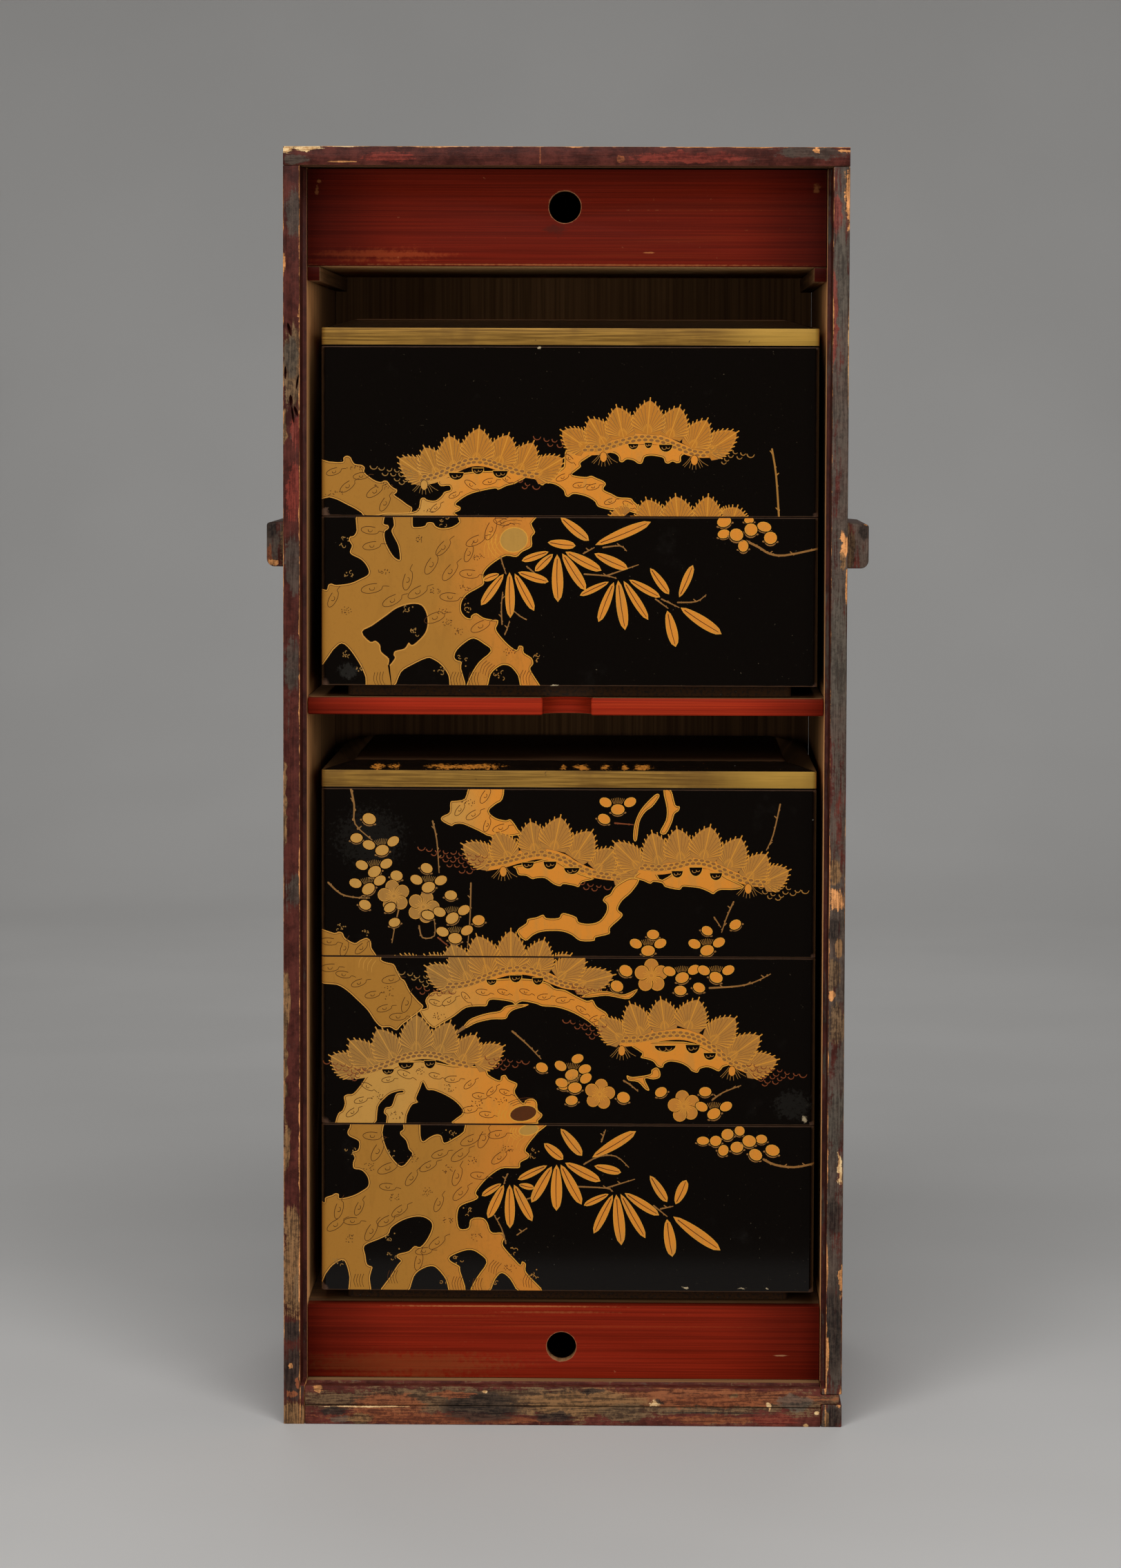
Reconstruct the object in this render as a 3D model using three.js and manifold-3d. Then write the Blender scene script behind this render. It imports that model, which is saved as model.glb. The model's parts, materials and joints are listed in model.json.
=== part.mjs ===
// A tiered food box: two stacks of lacquered tiers in a tall open-fronted carrying case with two drawers.
// Millimetres, +Z up. The open front faces -Y, and the origin is on the ground at the middle of the case.
import * as THREE from "three";
import { mergeVertices } from "three/addons/utils/BufferGeometryUtils.js";
import Module from "manifold-3d";

const wasm = await Module();
wasm.setup();

// Case
const caseWidth = 273;
const caseDepth = 265;
const caseHeight = 622;
const topThickness = 9;
const sideThickness = 10;
const backThickness = 9;
const bottomThickness = 9.6;
const footHeight = 9.3;
const footDepth = 18;
const jointGap = 0.3;

// Recess at the front, which held a drop-in door
const doorRecess = 23;
const doorStep = 2;
const doorGrooveFront = 8;
const doorGrooveWidth = 7;
const lowerGrooveDepth = 2.5;
const upperGrooveDepth = 5;

// Tongue of the bottom board, seen on the right where the lacquer has gone
const tongueThickness = 4.5;
const tongueLength = 8.8;
const tongueDepth = 40;
const tongueRise = 2;

// Shelf between the stacks, housed in a stopped groove at each side
const shelfThickness = 8.4;
const shelfHousing = 3;
const shelfStop = 12;
const notchWidth = 23.6;
const notchDepth = 17;
const notchShift = 0.7;

// Drawers
const drawerFront = 9;
const drawerSide = 6;
const drawerBack = 6;
const drawerBottom = 4;
const drawerSlack = 0.4;
const drawerHeadroom = 0.8;
const drawerRearRoom = 4;
const topDrawerHeight = 46.8;
const bottomDrawerHeight = 36.2;
const fingerHoleShift = -1;
const topFingerHole = { diameter: 15.6, rise: 28.6 };
const bottomFingerHole = { diameter: 14.6, rise: 15.6 };

// Dust board over the bottom drawer, which carries the lower stack and stands a little above the
// top of that drawer's front
const dustBoardLift = 1.1;
const dustBoardThickness = 5.6;

// Cleats that carry the top drawer
const cleatWidth = 6;
const cleatHeight = 7;

// Handles, with their middle this far above the shelf
const handleLift = 73.8;
const handleLength = 120;
const handleHeight = 23;
const handleReach = 13;
const handleSlope = 1.2;
const handleRound = 4;

// Tiers. They fill the case but for the room at each side and behind, and the room above each lid.
const tierSideRoom = 5.3;
const tierRearRoom = 9;
const lowerHeadroom = 22.7;
const upperHeadroom = 18.1;
const tierWall = 10.5;
const tierFloor = 7;
const tierCorner = 2.5;
const plugHeight = 5.6;
const plugClearance = 1.8;
const stackShift = 1.8;
const lowerTiers = 3;
const upperTiers = 2;

// Lids
const lidRim = 8.8;
const lidRise = 4.4;
const lidBevel = 17;
const lidPlate = 5;
const lidLip = 4;
const lidLipWidth = 5;

// Losses. Each wormhole in the front edge of the left side board is given by its distance from the
// top of the case and from the board's outer face, its half width and half length, and its lean in
// degrees.
const wormDepth = 4;
const wormholes = [
  { fromTop: 88, inset: 3.1, half: [0.8, 3.4], lean: 15 },
  { fromTop: 108.8, inset: 1.1, half: [0.6, 3.2], lean: 0 },
  { fromTop: 113.3, inset: 6.9, half: [0.5, 3.7], lean: -9 },
  { fromTop: 122.2, inset: 3.8, half: [0.9, 2.9], lean: 4 },
  { fromTop: 129.2, inset: 4.7, half: [0.6, 4.1], lean: 8 },
  { fromTop: 127.4, inset: 6.3, half: [0.8, 2.6], lean: 20 },
];

// Splinters gone from the top board's front arris, by distance from its left end, reach and drop
const topLosses = [
  { along: 0.5, reach: 4.5, drop: 3.4 },
  { along: 9, reach: 10, drop: 2.3 },
];
const lossDepth = 2.5;

// Segments in each quarter of a small round corner, and round a finger hole
const cornerSteps = 4;
const holeSteps = 48;
const notchSteps = 24;

// How far a cutting solid runs past what it cuts
const past = 1;

const finish = {
  worn: new THREE.MeshStandardMaterial({ color: 0x5a4640, roughness: 0.55, metalness: 0 }),
  red: new THREE.MeshStandardMaterial({ color: 0x7a2a1c, roughness: 0.35, metalness: 0 }),
  bare: new THREE.MeshStandardMaterial({ color: 0x8a6a44, roughness: 0.8, metalness: 0 }),
  black: new THREE.MeshStandardMaterial({ color: 0x14100f, roughness: 0.15, metalness: 0 }),
  grip: new THREE.MeshStandardMaterial({ color: 0x5c5648, roughness: 0.7, metalness: 0 }),
};

// Geometry helpers

function solid(geometry) {
  const bare = new THREE.BufferGeometry();
  bare.setAttribute("position", geometry.getAttribute("position"));
  bare.setIndex(geometry.getIndex());
  const merged = mergeVertices(bare, 1e-4);
  const mesh = new wasm.Mesh({
    numProp: 3,
    vertProperties: new Float32Array(merged.getAttribute("position").array),
    triVerts: new Uint32Array(merged.getIndex().array),
  });
  return new wasm.Manifold(mesh);
}

function geometryOf(manifold) {
  const mesh = manifold.getMesh();
  const geometry = new THREE.BufferGeometry();
  geometry.setAttribute("position", new THREE.BufferAttribute(mesh.vertProperties, 3));
  geometry.setIndex(new THREE.BufferAttribute(mesh.triVerts, 1));
  geometry.computeVertexNormals();
  return geometry;
}

// A box from its lowest to its highest corner.
function block([x0, y0, z0], [x1, y1, z1]) {
  const geometry = new THREE.BoxGeometry(x1 - x0, y1 - y0, z1 - z0);
  geometry.translate((x0 + x1) / 2, (y0 + y1) / 2, (z0 + z1) / 2);
  return solid(geometry);
}

// The outline of a rectangle with round corners, centred on the origin, as points at one height.
function roundedRing(width, depth, radius, z) {
  const ring = [];
  const inX = width / 2 - radius;
  const inY = depth / 2 - radius;
  const middles = [
    [inX, inY],
    [-inX, inY],
    [-inX, -inY],
    [inX, -inY],
  ];
  middles.forEach(([x, y], quarter) => {
    for (let i = 0; i <= cornerSteps; i++) {
      const angle = ((quarter + i / cornerSteps) * Math.PI) / 2;
      ring.push(new THREE.Vector3(x + radius * Math.cos(angle), y + radius * Math.sin(angle), z));
    }
  });
  return ring;
}

// A closed solid through rings of equal count, the lowest first.
function loft(rings) {
  const count = rings[0].length;
  const points = rings.flat();
  const foot = points.length;
  const head = foot + 1;
  for (const ring of [rings[0], rings.at(-1)]) {
    const middle = ring.reduce((sum, p) => sum.add(p), new THREE.Vector3());
    points.push(middle.divideScalar(count));
  }
  const faces = [];
  for (let i = 0; i < count; i++) {
    const j = (i + 1) % count;
    faces.push(foot, j, i);
    for (let k = 0; k < rings.length - 1; k++) {
      const low = k * count;
      const high = low + count;
      faces.push(low + i, low + j, high + j, low + i, high + j, high + i);
    }
    const last = (rings.length - 1) * count;
    faces.push(head, last + i, last + j);
  }
  const geometry = new THREE.BufferGeometry().setFromPoints(points);
  geometry.setIndex(faces);
  return solid(geometry);
}

function roundedBlock(width, depth, radius, z0, z1) {
  return loft([roundedRing(width, depth, radius, z0), roundedRing(width, depth, radius, z1)]);
}

// A round bar along Y.
function bar(x, z, diameter, y0, y1, steps) {
  const geometry = new THREE.CylinderGeometry(diameter / 2, diameter / 2, y1 - y0, steps);
  geometry.translate(x, (y0 + y1) / 2, z);
  return solid(geometry);
}

// A bite of missing wood: an ellipsoid with its middle, half sizes and lean about Y.
function bite([x, y, z], [halfX, halfY, halfZ], lean = 0) {
  const geometry = new THREE.IcosahedronGeometry(1, 1);
  geometry.scale(halfX, halfY, halfZ);
  geometry.rotateY(-THREE.MathUtils.degToRad(lean));
  geometry.translate(x, y, z);
  return solid(geometry);
}

function node(name, manifold, material, position = [0, 0, 0]) {
  const mesh = new THREE.Mesh(geometryOf(manifold), material);
  mesh.name = name;
  mesh.position.set(...position);
  return mesh;
}

// Planes that several pieces share

const front = -caseDepth / 2;
const back = caseDepth / 2;
const recess = front + doorRecess;
const innerHalf = caseWidth / 2 - sideThickness;
const innerBack = back - backThickness;
const bottomTop = footHeight + bottomThickness;
const topUnder = caseHeight - topThickness;
const topDrawerUnder = topUnder - drawerHeadroom - topDrawerHeight;
const cleatTop = topDrawerUnder - drawerSlack;
const dustBoardTop = bottomTop + drawerSlack + bottomDrawerHeight + dustBoardLift;

// The tiers share the height that the lids, plugs, shelf and headroom leave between the dust board
// and the cleats, and the shelf comes where the lower stack ends.
const lidHeight = lidRim + lidRise;
const stackExtra = jointGap + plugHeight + lidHeight;
const stackRoom = cleatTop - cleatHeight - upperHeadroom - shelfThickness - lowerHeadroom - dustBoardTop;
const tierHeight = (stackRoom - 2 * stackExtra) / (lowerTiers + upperTiers);
const tierWidth = 2 * (innerHalf - tierSideRoom);
const tierDepth = innerBack - tierRearRoom - recess;
const shelfUnder = dustBoardTop + stackExtra + lowerTiers * tierHeight + lowerHeadroom;
const shelfTop = shelfUnder + shelfThickness;

// Case

function topBoard() {
  let board = block([-caseWidth / 2, front, topUnder], [caseWidth / 2, back, caseHeight]);
  const groove = block(
    [-innerHalf, front + doorGrooveFront, topUnder - past],
    [innerHalf, front + doorGrooveFront + doorGrooveWidth, topUnder + upperGrooveDepth],
  );
  board = board.subtract(groove);
  for (const { along, reach, drop } of topLosses) {
    const middle = [along - caseWidth / 2, front, caseHeight];
    board = board.subtract(bite(middle, [reach, lossDepth, drop]));
  }
  return node("top_board", board, finish.worn);
}

// side is -1 for the left board and 1 for the right one.
function sideBoard(side) {
  const inner = side * innerHalf;
  const outer = (side * caseWidth) / 2;
  const across = (a, b) => [Math.min(a, b), Math.max(a, b)];
  const [x0, x1] = across(inner, outer);
  let board = block([x0, front, 0], [x1, back, topUnder - jointGap]);
  const [r0, r1] = across(inner - side * past, inner + side * doorStep);
  board = board.subtract(block([r0, front - past, bottomTop], [r1, recess, topUnder + past]));
  const [h0, h1] = across(inner - side * past, inner + side * (shelfHousing + jointGap));
  board = board.subtract(
    block(
      [h0, recess + shelfStop - jointGap, shelfUnder - jointGap],
      [h1, innerBack, shelfTop + jointGap],
    ),
  );
  if (side > 0) {
    board = board.subtract(tongueBlock(jointGap, past));
    return node("side_board_right", board, finish.worn);
  }
  for (const { fromTop, inset, half, lean } of wormholes) {
    const middle = [inset - caseWidth / 2, front, caseHeight - fromTop];
    board = board.subtract(bite(middle, [half[0], wormDepth, half[1]], lean));
  }
  return node("side_board_left", board, finish.worn);
}

// The bottom board's tongue, or with room all round it the slot that it sits in.
function tongueBlock(room, through) {
  const z0 = footHeight + tongueRise;
  return block(
    [innerHalf - past - room, front - through, z0 - room],
    [
      innerHalf + tongueLength + (through ? sideThickness : 0),
      front + tongueDepth + room,
      z0 + tongueThickness + room,
    ],
  );
}

function bottomBoard() {
  const half = innerHalf - jointGap;
  let board = block([-half, front, footHeight + jointGap], [half, back, bottomTop]);
  const groove = block(
    [-half - past, front + doorGrooveFront, bottomTop - lowerGrooveDepth],
    [half + past, front + doorGrooveFront + doorGrooveWidth, bottomTop + past],
  );
  board = board.subtract(groove);
  return node("bottom_board", board.add(tongueBlock(0, 0)), finish.worn);
}

function footRail(name, y0) {
  const half = innerHalf - jointGap;
  return node(name, block([-half, y0, 0], [half, y0 + footDepth, footHeight]), finish.worn);
}

function backBoard() {
  const half = innerHalf - jointGap;
  const board = block([-half, innerBack, bottomTop + jointGap], [half, back, topUnder - jointGap]);
  return node("back_board", board, finish.bare);
}

function shelf() {
  const half = innerHalf - jointGap;
  const housed = innerHalf + shelfHousing;
  const rear = innerBack - jointGap;
  const lip = block([-half, recess, shelfUnder], [half, recess + shelfStop + past, shelfTop]);
  const body = block([-housed, recess + shelfStop, shelfUnder], [housed, rear, shelfTop]);
  const straight = notchDepth - notchWidth / 2;
  const hollow = block(
    [notchShift - notchWidth / 2, recess - past, shelfUnder - past],
    [notchShift + notchWidth / 2, recess + straight, shelfTop + past],
  );
  const end = new THREE.CylinderGeometry(
    notchWidth / 2,
    notchWidth / 2,
    shelfThickness + 2 * past,
    notchSteps,
  );
  end.rotateX(Math.PI / 2);
  end.translate(notchShift, recess + straight, shelfTop - shelfThickness / 2);
  return node("shelf", lip.add(body).subtract(hollow).subtract(solid(end)), finish.red);
}

function dustBoard() {
  const half = innerHalf - jointGap;
  const board = block(
    [-half, recess + drawerFront + drawerSlack, dustBoardTop - dustBoardThickness],
    [half, innerBack - jointGap, dustBoardTop],
  );
  return node("dust_board", board, finish.bare);
}

function cleat(side) {
  const wall = side * (innerHalf - jointGap);
  const inside = wall - side * cleatWidth;
  const board = block(
    [Math.min(wall, inside), recess, cleatTop - cleatHeight],
    [Math.max(wall, inside), innerBack - jointGap, cleatTop],
  );
  return node(side < 0 ? "drawer_cleat_left" : "drawer_cleat_right", board, finish.bare);
}

// A grip with a sloping top and a round lower edge, seen from its end, and run along the side board.
function handle(side) {
  const half = handleHeight / 2;
  const end = new THREE.Shape();
  end.moveTo(0, -half);
  end.lineTo(handleReach - handleRound, -half);
  end.absarc(handleReach - handleRound, handleRound - half, handleRound, -Math.PI / 2, 0);
  end.lineTo(handleReach, half - handleSlope);
  end.lineTo(0, half);
  const geometry = new THREE.ExtrudeGeometry(end, {
    depth: handleLength,
    bevelEnabled: false,
    curveSegments: cornerSteps,
  });
  geometry.rotateX(Math.PI / 2);
  geometry.translate(0, handleLength / 2, 0);
  if (side < 0) geometry.rotateZ(Math.PI);
  const name = side < 0 ? "handle_left" : "handle_right";
  const wall = side * (caseWidth / 2 + jointGap);
  return node(name, solid(geometry), finish.grip, [wall, 0, shelfTop + handleLift]);
}

// Drawers: each piece is set from the drawer's lower front edge, at the middle of its width.

function drawer(name, height, boxHeight, hole, z) {
  const half = innerHalf - drawerSlack;
  const rear = innerBack - drawerRearRoom - recess;
  const sideIn = half - drawerSide;
  const behind = drawerFront + jointGap;
  const floorTop = drawerBottom + jointGap;
  const board = block([-half, 0, 0], [half, drawerFront, height]);
  const bore = bar(fingerHoleShift, hole.rise, hole.diameter, -past, drawerFront + past, holeSteps);
  const group = new THREE.Group();
  group.position.set(0, recess, z);
  const bottom = block([-half, behind, 0], [half, rear, drawerBottom]);
  const left = block([-half, behind, floorTop], [-sideIn, rear, boxHeight]);
  const right = block([sideIn, behind, floorTop], [half, rear, boxHeight]);
  const end = block(
    [-sideIn + jointGap, rear - drawerBack, floorTop],
    [sideIn - jointGap, rear, boxHeight],
  );
  group.add(
    node(`${name}_front`, board.subtract(bore), finish.red),
    node(`${name}_side_left`, left, finish.bare),
    node(`${name}_side_right`, right, finish.bare),
    node(`${name}_back`, end, finish.bare),
    node(`${name}_bottom`, bottom, finish.bare),
  );
  return group;
}

function topDrawer() {
  const height = topDrawerHeight;
  return drawer("top_drawer", height, height, topFingerHole, topDrawerUnder);
}

// Its sides run under the dust board, and its front covers that board's edge.
function bottomDrawer() {
  const z = bottomTop + drawerSlack;
  const boxHeight = dustBoardTop - dustBoardThickness - drawerHeadroom - z;
  return drawer("bottom_drawer", bottomDrawerHeight, boxHeight, bottomFingerHole, z);
}

// Tiers and lids: heights count from the lower edge of the outer wall.

const cavityWidth = tierWidth - 2 * tierWall;
const cavityDepth = tierDepth - 2 * tierWall;
const plugWidth = cavityWidth - 2 * plugClearance;
const plugDepth = cavityDepth - 2 * plugClearance;

function tier() {
  const wall = roundedBlock(tierWidth, tierDepth, tierCorner, 0, tierHeight - jointGap);
  const plug = roundedBlock(plugWidth, plugDepth, tierCorner, -plugHeight, past);
  const floorTop = tierFloor - plugHeight;
  const cavity = roundedBlock(cavityWidth, cavityDepth, tierCorner, floorTop, tierHeight + past);
  return wall.add(plug).subtract(cavity);
}

function lid() {
  const flatWidth = tierWidth - 2 * lidBevel;
  const flatDepth = tierDepth - 2 * lidBevel;
  const cap = loft([
    roundedRing(tierWidth, tierDepth, tierCorner, 0),
    roundedRing(tierWidth, tierDepth, tierCorner, lidRim),
    roundedRing(flatWidth, flatDepth, tierCorner, lidHeight),
  ]);
  const lip = roundedBlock(plugWidth, plugDepth, tierCorner, -lidLip, past);
  const hollow = roundedBlock(
    plugWidth - 2 * lidLipWidth,
    plugDepth - 2 * lidLipWidth,
    tierCorner,
    -lidLip - past,
    lidHeight - lidPlate,
  );
  return cap.add(lip).subtract(hollow);
}

// A stack of tiers under a lid, standing on its lowest plug.
function stack(names, lidName, standsOn) {
  const group = new THREE.Group();
  group.position.set(stackShift, recess + tierDepth / 2, standsOn + jointGap + plugHeight);
  names.forEach((name, i) => {
    group.add(node(name, tier(), finish.black, [0, 0, i * tierHeight]));
  });
  group.add(node(lidName, lid(), finish.black, [0, 0, names.length * tierHeight]));
  return group;
}

function tierNames(prefix, count) {
  return Array.from({ length: count }, (_, i) => `${prefix}_tier_${i + 1}`);
}

const foodBox = new THREE.Group();
foodBox.add(
  topBoard(),
  sideBoard(-1),
  sideBoard(1),
  bottomBoard(),
  footRail("foot_rail_front", front),
  footRail("foot_rail_back", back - footDepth),
  backBoard(),
  shelf(),
  dustBoard(),
  cleat(-1),
  cleat(1),
  handle(-1),
  handle(1),
  topDrawer(),
  bottomDrawer(),
  stack(tierNames("lower", lowerTiers), "lower_lid", dustBoardTop),
  stack(tierNames("upper", upperTiers), "upper_lid", shelfTop),
);

export default foodBox;
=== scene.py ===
import json
import math
import random

import bmesh
import bpy
from bpy.props import FloatProperty, FloatVectorProperty, IntProperty, PointerProperty
import numpy as np
from mathutils import Matrix, Vector
from mathutils.geometry import delaunay_2d_cdt

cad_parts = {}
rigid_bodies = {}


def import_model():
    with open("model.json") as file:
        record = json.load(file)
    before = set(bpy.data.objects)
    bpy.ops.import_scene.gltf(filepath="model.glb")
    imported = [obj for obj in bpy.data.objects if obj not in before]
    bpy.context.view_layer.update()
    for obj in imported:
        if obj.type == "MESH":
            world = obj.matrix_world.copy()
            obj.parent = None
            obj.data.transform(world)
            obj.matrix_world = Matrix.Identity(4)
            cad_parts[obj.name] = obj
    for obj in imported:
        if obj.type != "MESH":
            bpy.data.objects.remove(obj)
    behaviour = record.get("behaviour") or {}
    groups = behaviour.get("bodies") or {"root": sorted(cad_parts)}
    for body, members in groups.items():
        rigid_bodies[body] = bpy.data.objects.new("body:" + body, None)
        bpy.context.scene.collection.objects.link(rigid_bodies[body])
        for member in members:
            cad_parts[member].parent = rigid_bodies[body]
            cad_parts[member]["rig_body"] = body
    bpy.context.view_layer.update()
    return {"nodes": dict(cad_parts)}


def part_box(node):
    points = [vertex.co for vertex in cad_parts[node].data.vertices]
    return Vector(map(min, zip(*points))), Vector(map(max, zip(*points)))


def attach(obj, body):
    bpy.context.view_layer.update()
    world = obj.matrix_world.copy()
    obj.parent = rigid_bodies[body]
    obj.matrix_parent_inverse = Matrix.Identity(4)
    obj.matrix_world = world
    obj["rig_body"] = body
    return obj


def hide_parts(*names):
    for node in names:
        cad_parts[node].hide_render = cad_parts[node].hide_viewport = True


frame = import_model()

bl_info = {
    "name": "Tiered Food Box",
    "version": (1, 0, 0),
    "blender": (4, 5, 0),
    "location": "View3D > Sidebar > Food Box",
    "description": "Builds a lacquered tiered food box in its worn carrying case, and its studio",
    "category": "Add Mesh",
}

BODY_OF = {node: piece["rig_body"] for node, piece in frame["nodes"].items()}
MM = 0.001

# Places that several pieces share, from the frame

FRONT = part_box("side_board_left")[0].y
INNER_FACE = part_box("side_board_right")[0].x
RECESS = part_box("top_drawer_front")[0].y
CASE_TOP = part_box("top_board")[1]
HANDLE_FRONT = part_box("handle_left")[0].y

# Places inside a board, which its box doesn't give

RABBET_DEPTH = 2.0 * MM
FOOT_SEAM = 9.4 * MM
HOLE_X = -1.0 * MM


# Sizes and colours that a user would change


class StudioSettings(bpy.types.PropertyGroup):
    """Camera, lights and floor"""

    camera_place: FloatVectorProperty(
        name="Camera place", description="Where the camera stands", size=3,
        default=(0.0393, -2.6491, 0.4965), subtype="TRANSLATION", unit="LENGTH",
    )
    camera_yaw: FloatProperty(
        name="Yaw", description="Turn of the camera to the right", default=math.radians(-0.938),
        subtype="ANGLE",
    )
    camera_pitch: FloatProperty(
        name="Pitch", description="Tilt of the camera downwards", default=math.radians(4.13),
        subtype="ANGLE",
    )
    camera_roll: FloatProperty(
        name="Roll", description="Lean of the camera", default=math.radians(0.177), subtype="ANGLE",
    )
    focal_length: FloatProperty(
        name="Focal length", description="Focal length in millimetres on a 36 mm sensor", default=167.05,
        min=1.0,
    )
    key_power: FloatProperty(
        name="Key light", description="Power of the large soft light in front", default=44.5, unit="POWER",
    )
    fill_power: FloatProperty(
        name="Fill light", description="Power of the light low on each side", default=26.0, unit="POWER",
    )
    rear_power: FloatProperty(
        name="Rear light", description="Power of the soft light behind, above the camera's view",
        default=16.0, unit="POWER",
    )
    world_grey: FloatProperty(
        name="Surroundings", description="Brightness of the surroundings", default=0.06, min=0.0,
    )
    floor_colour: FloatVectorProperty(
        name="Floor", description="Colour of the pale floor", size=3, default=(0.62, 0.61, 0.595),
        subtype="COLOR", min=0.0, max=1.0,
    )


class CaseSettings(bpy.types.PropertyGroup):
    """Arrises and finishes of the case and its drawers"""

    edge_round: FloatProperty(
        name="Board arris", description="Rounding of the case boards' arrises", default=0.55 * MM,
        unit="LENGTH",
    )
    maroon: FloatVectorProperty(
        name="Maroon lacquer", description="Old lacquer of the case", size=3, default=(0.095, 0.022, 0.015),
        subtype="COLOR", min=0.0, max=1.0,
    )
    slate: FloatVectorProperty(
        name="Slate patches", description="Lacquer that has gone grey", size=3,
        default=(0.080, 0.066, 0.050),
        subtype="COLOR", min=0.0, max=1.0,
    )
    worn_wood: FloatVectorProperty(
        name="Worn wood", description="Wood where the lacquer has gone", size=3,
        default=(0.50, 0.215, 0.075),
        subtype="COLOR", min=0.0, max=1.0,
    )
    inner_wood: FloatVectorProperty(
        name="Inner wood", description="Bare wood inside the case", size=3, default=(0.27, 0.135, 0.055),
        subtype="COLOR", min=0.0, max=1.0,
    )
    red: FloatVectorProperty(
        name="Red lacquer", description="Lacquer of the drawers and the shelf", size=3,
        default=(0.30, 0.020, 0.006),
        subtype="COLOR", min=0.0, max=1.0,
    )


class TierSettings(bpy.types.PropertyGroup):
    """Sizes and finishes of the tiers and lids"""

    corner: FloatProperty(
        name="Corner", description="Radius of the tiers' upright corners", default=2.5 * MM, unit="LENGTH",
    )
    arris: FloatProperty(
        name="Arris", description="Chamfer along the tiers' upper and lower edges", default=0.26 * MM,
        unit="LENGTH",
    )
    wall: FloatProperty(
        name="Wall", description="Thickness of a tier's wall", default=10.5 * MM, unit="LENGTH",
    )
    plug_room: FloatProperty(
        name="Plug room", description="Room round a plug in the tier below", default=1.8 * MM,
        unit="LENGTH",
    )
    plug_height: FloatProperty(
        name="Plug height", description="How far a tier's plug stands down", default=5.6 * MM,
        unit="LENGTH",
    )
    floor: FloatProperty(
        name="Floor", description="Thickness of a tier's floor", default=7.0 * MM, unit="LENGTH",
    )
    lid_bevel: FloatProperty(
        name="Lid bevel", description="Width of the slope round a lid's top", default=17.0 * MM,
        unit="LENGTH",
    )
    lid_rise: FloatProperty(
        name="Lid rise", description="Height of that slope", default=4.4 * MM, unit="LENGTH",
    )
    lid_lip: FloatProperty(
        name="Lid lip", description="How far a lid's lip stands down", default=4.0 * MM, unit="LENGTH",
    )
    black: FloatVectorProperty(
        name="Black lacquer", description="Ground of the tiers and lids", size=3,
        default=(0.0028, 0.0018, 0.0012),
        subtype="COLOR", min=0.0, max=1.0,
    )
    gold: FloatVectorProperty(
        name="Orange gold", description="Gold of branches, leaves and petals", size=3,
        default=(0.58, 0.205, 0.022),
        subtype="COLOR", min=0.0, max=1.0,
    )
    pale_gold: FloatVectorProperty(
        name="Pale gold", description="Gold of trunks, needles and twigs", size=3,
        default=(0.50, 0.235, 0.042),
        subtype="COLOR", min=0.0, max=1.0,
    )
    needles: IntProperty(
        name="Needles", description="Needles on each side of a pine tuft", default=7, min=3, max=20,
    )


# Shader maths


class Field:
    """A value, colour or vector in a material. Arithmetic on values adds Math nodes."""

    def __init__(self, paint, socket):
        self.paint = paint
        self.socket = socket

    def _math(self, operation, first, second):
        return self.paint.add("ShaderNodeMath", {"operation": operation}, {0: first, 1: second})

    def __add__(self, other):
        return self._math("ADD", self, other)

    __radd__ = __add__

    def __sub__(self, other):
        return self._math("SUBTRACT", self, other)

    def __rsub__(self, other):
        return self._math("SUBTRACT", other, self)

    def __mul__(self, other):
        return self._math("MULTIPLY", self, other)

    __rmul__ = __mul__

    def __abs__(self):
        return self._math("ABSOLUTE", self, 0.0)

    def high(self, other):
        return self._math("MAXIMUM", self, other)

    def low(self, other):
        return self._math("MINIMUM", self, other)


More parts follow.
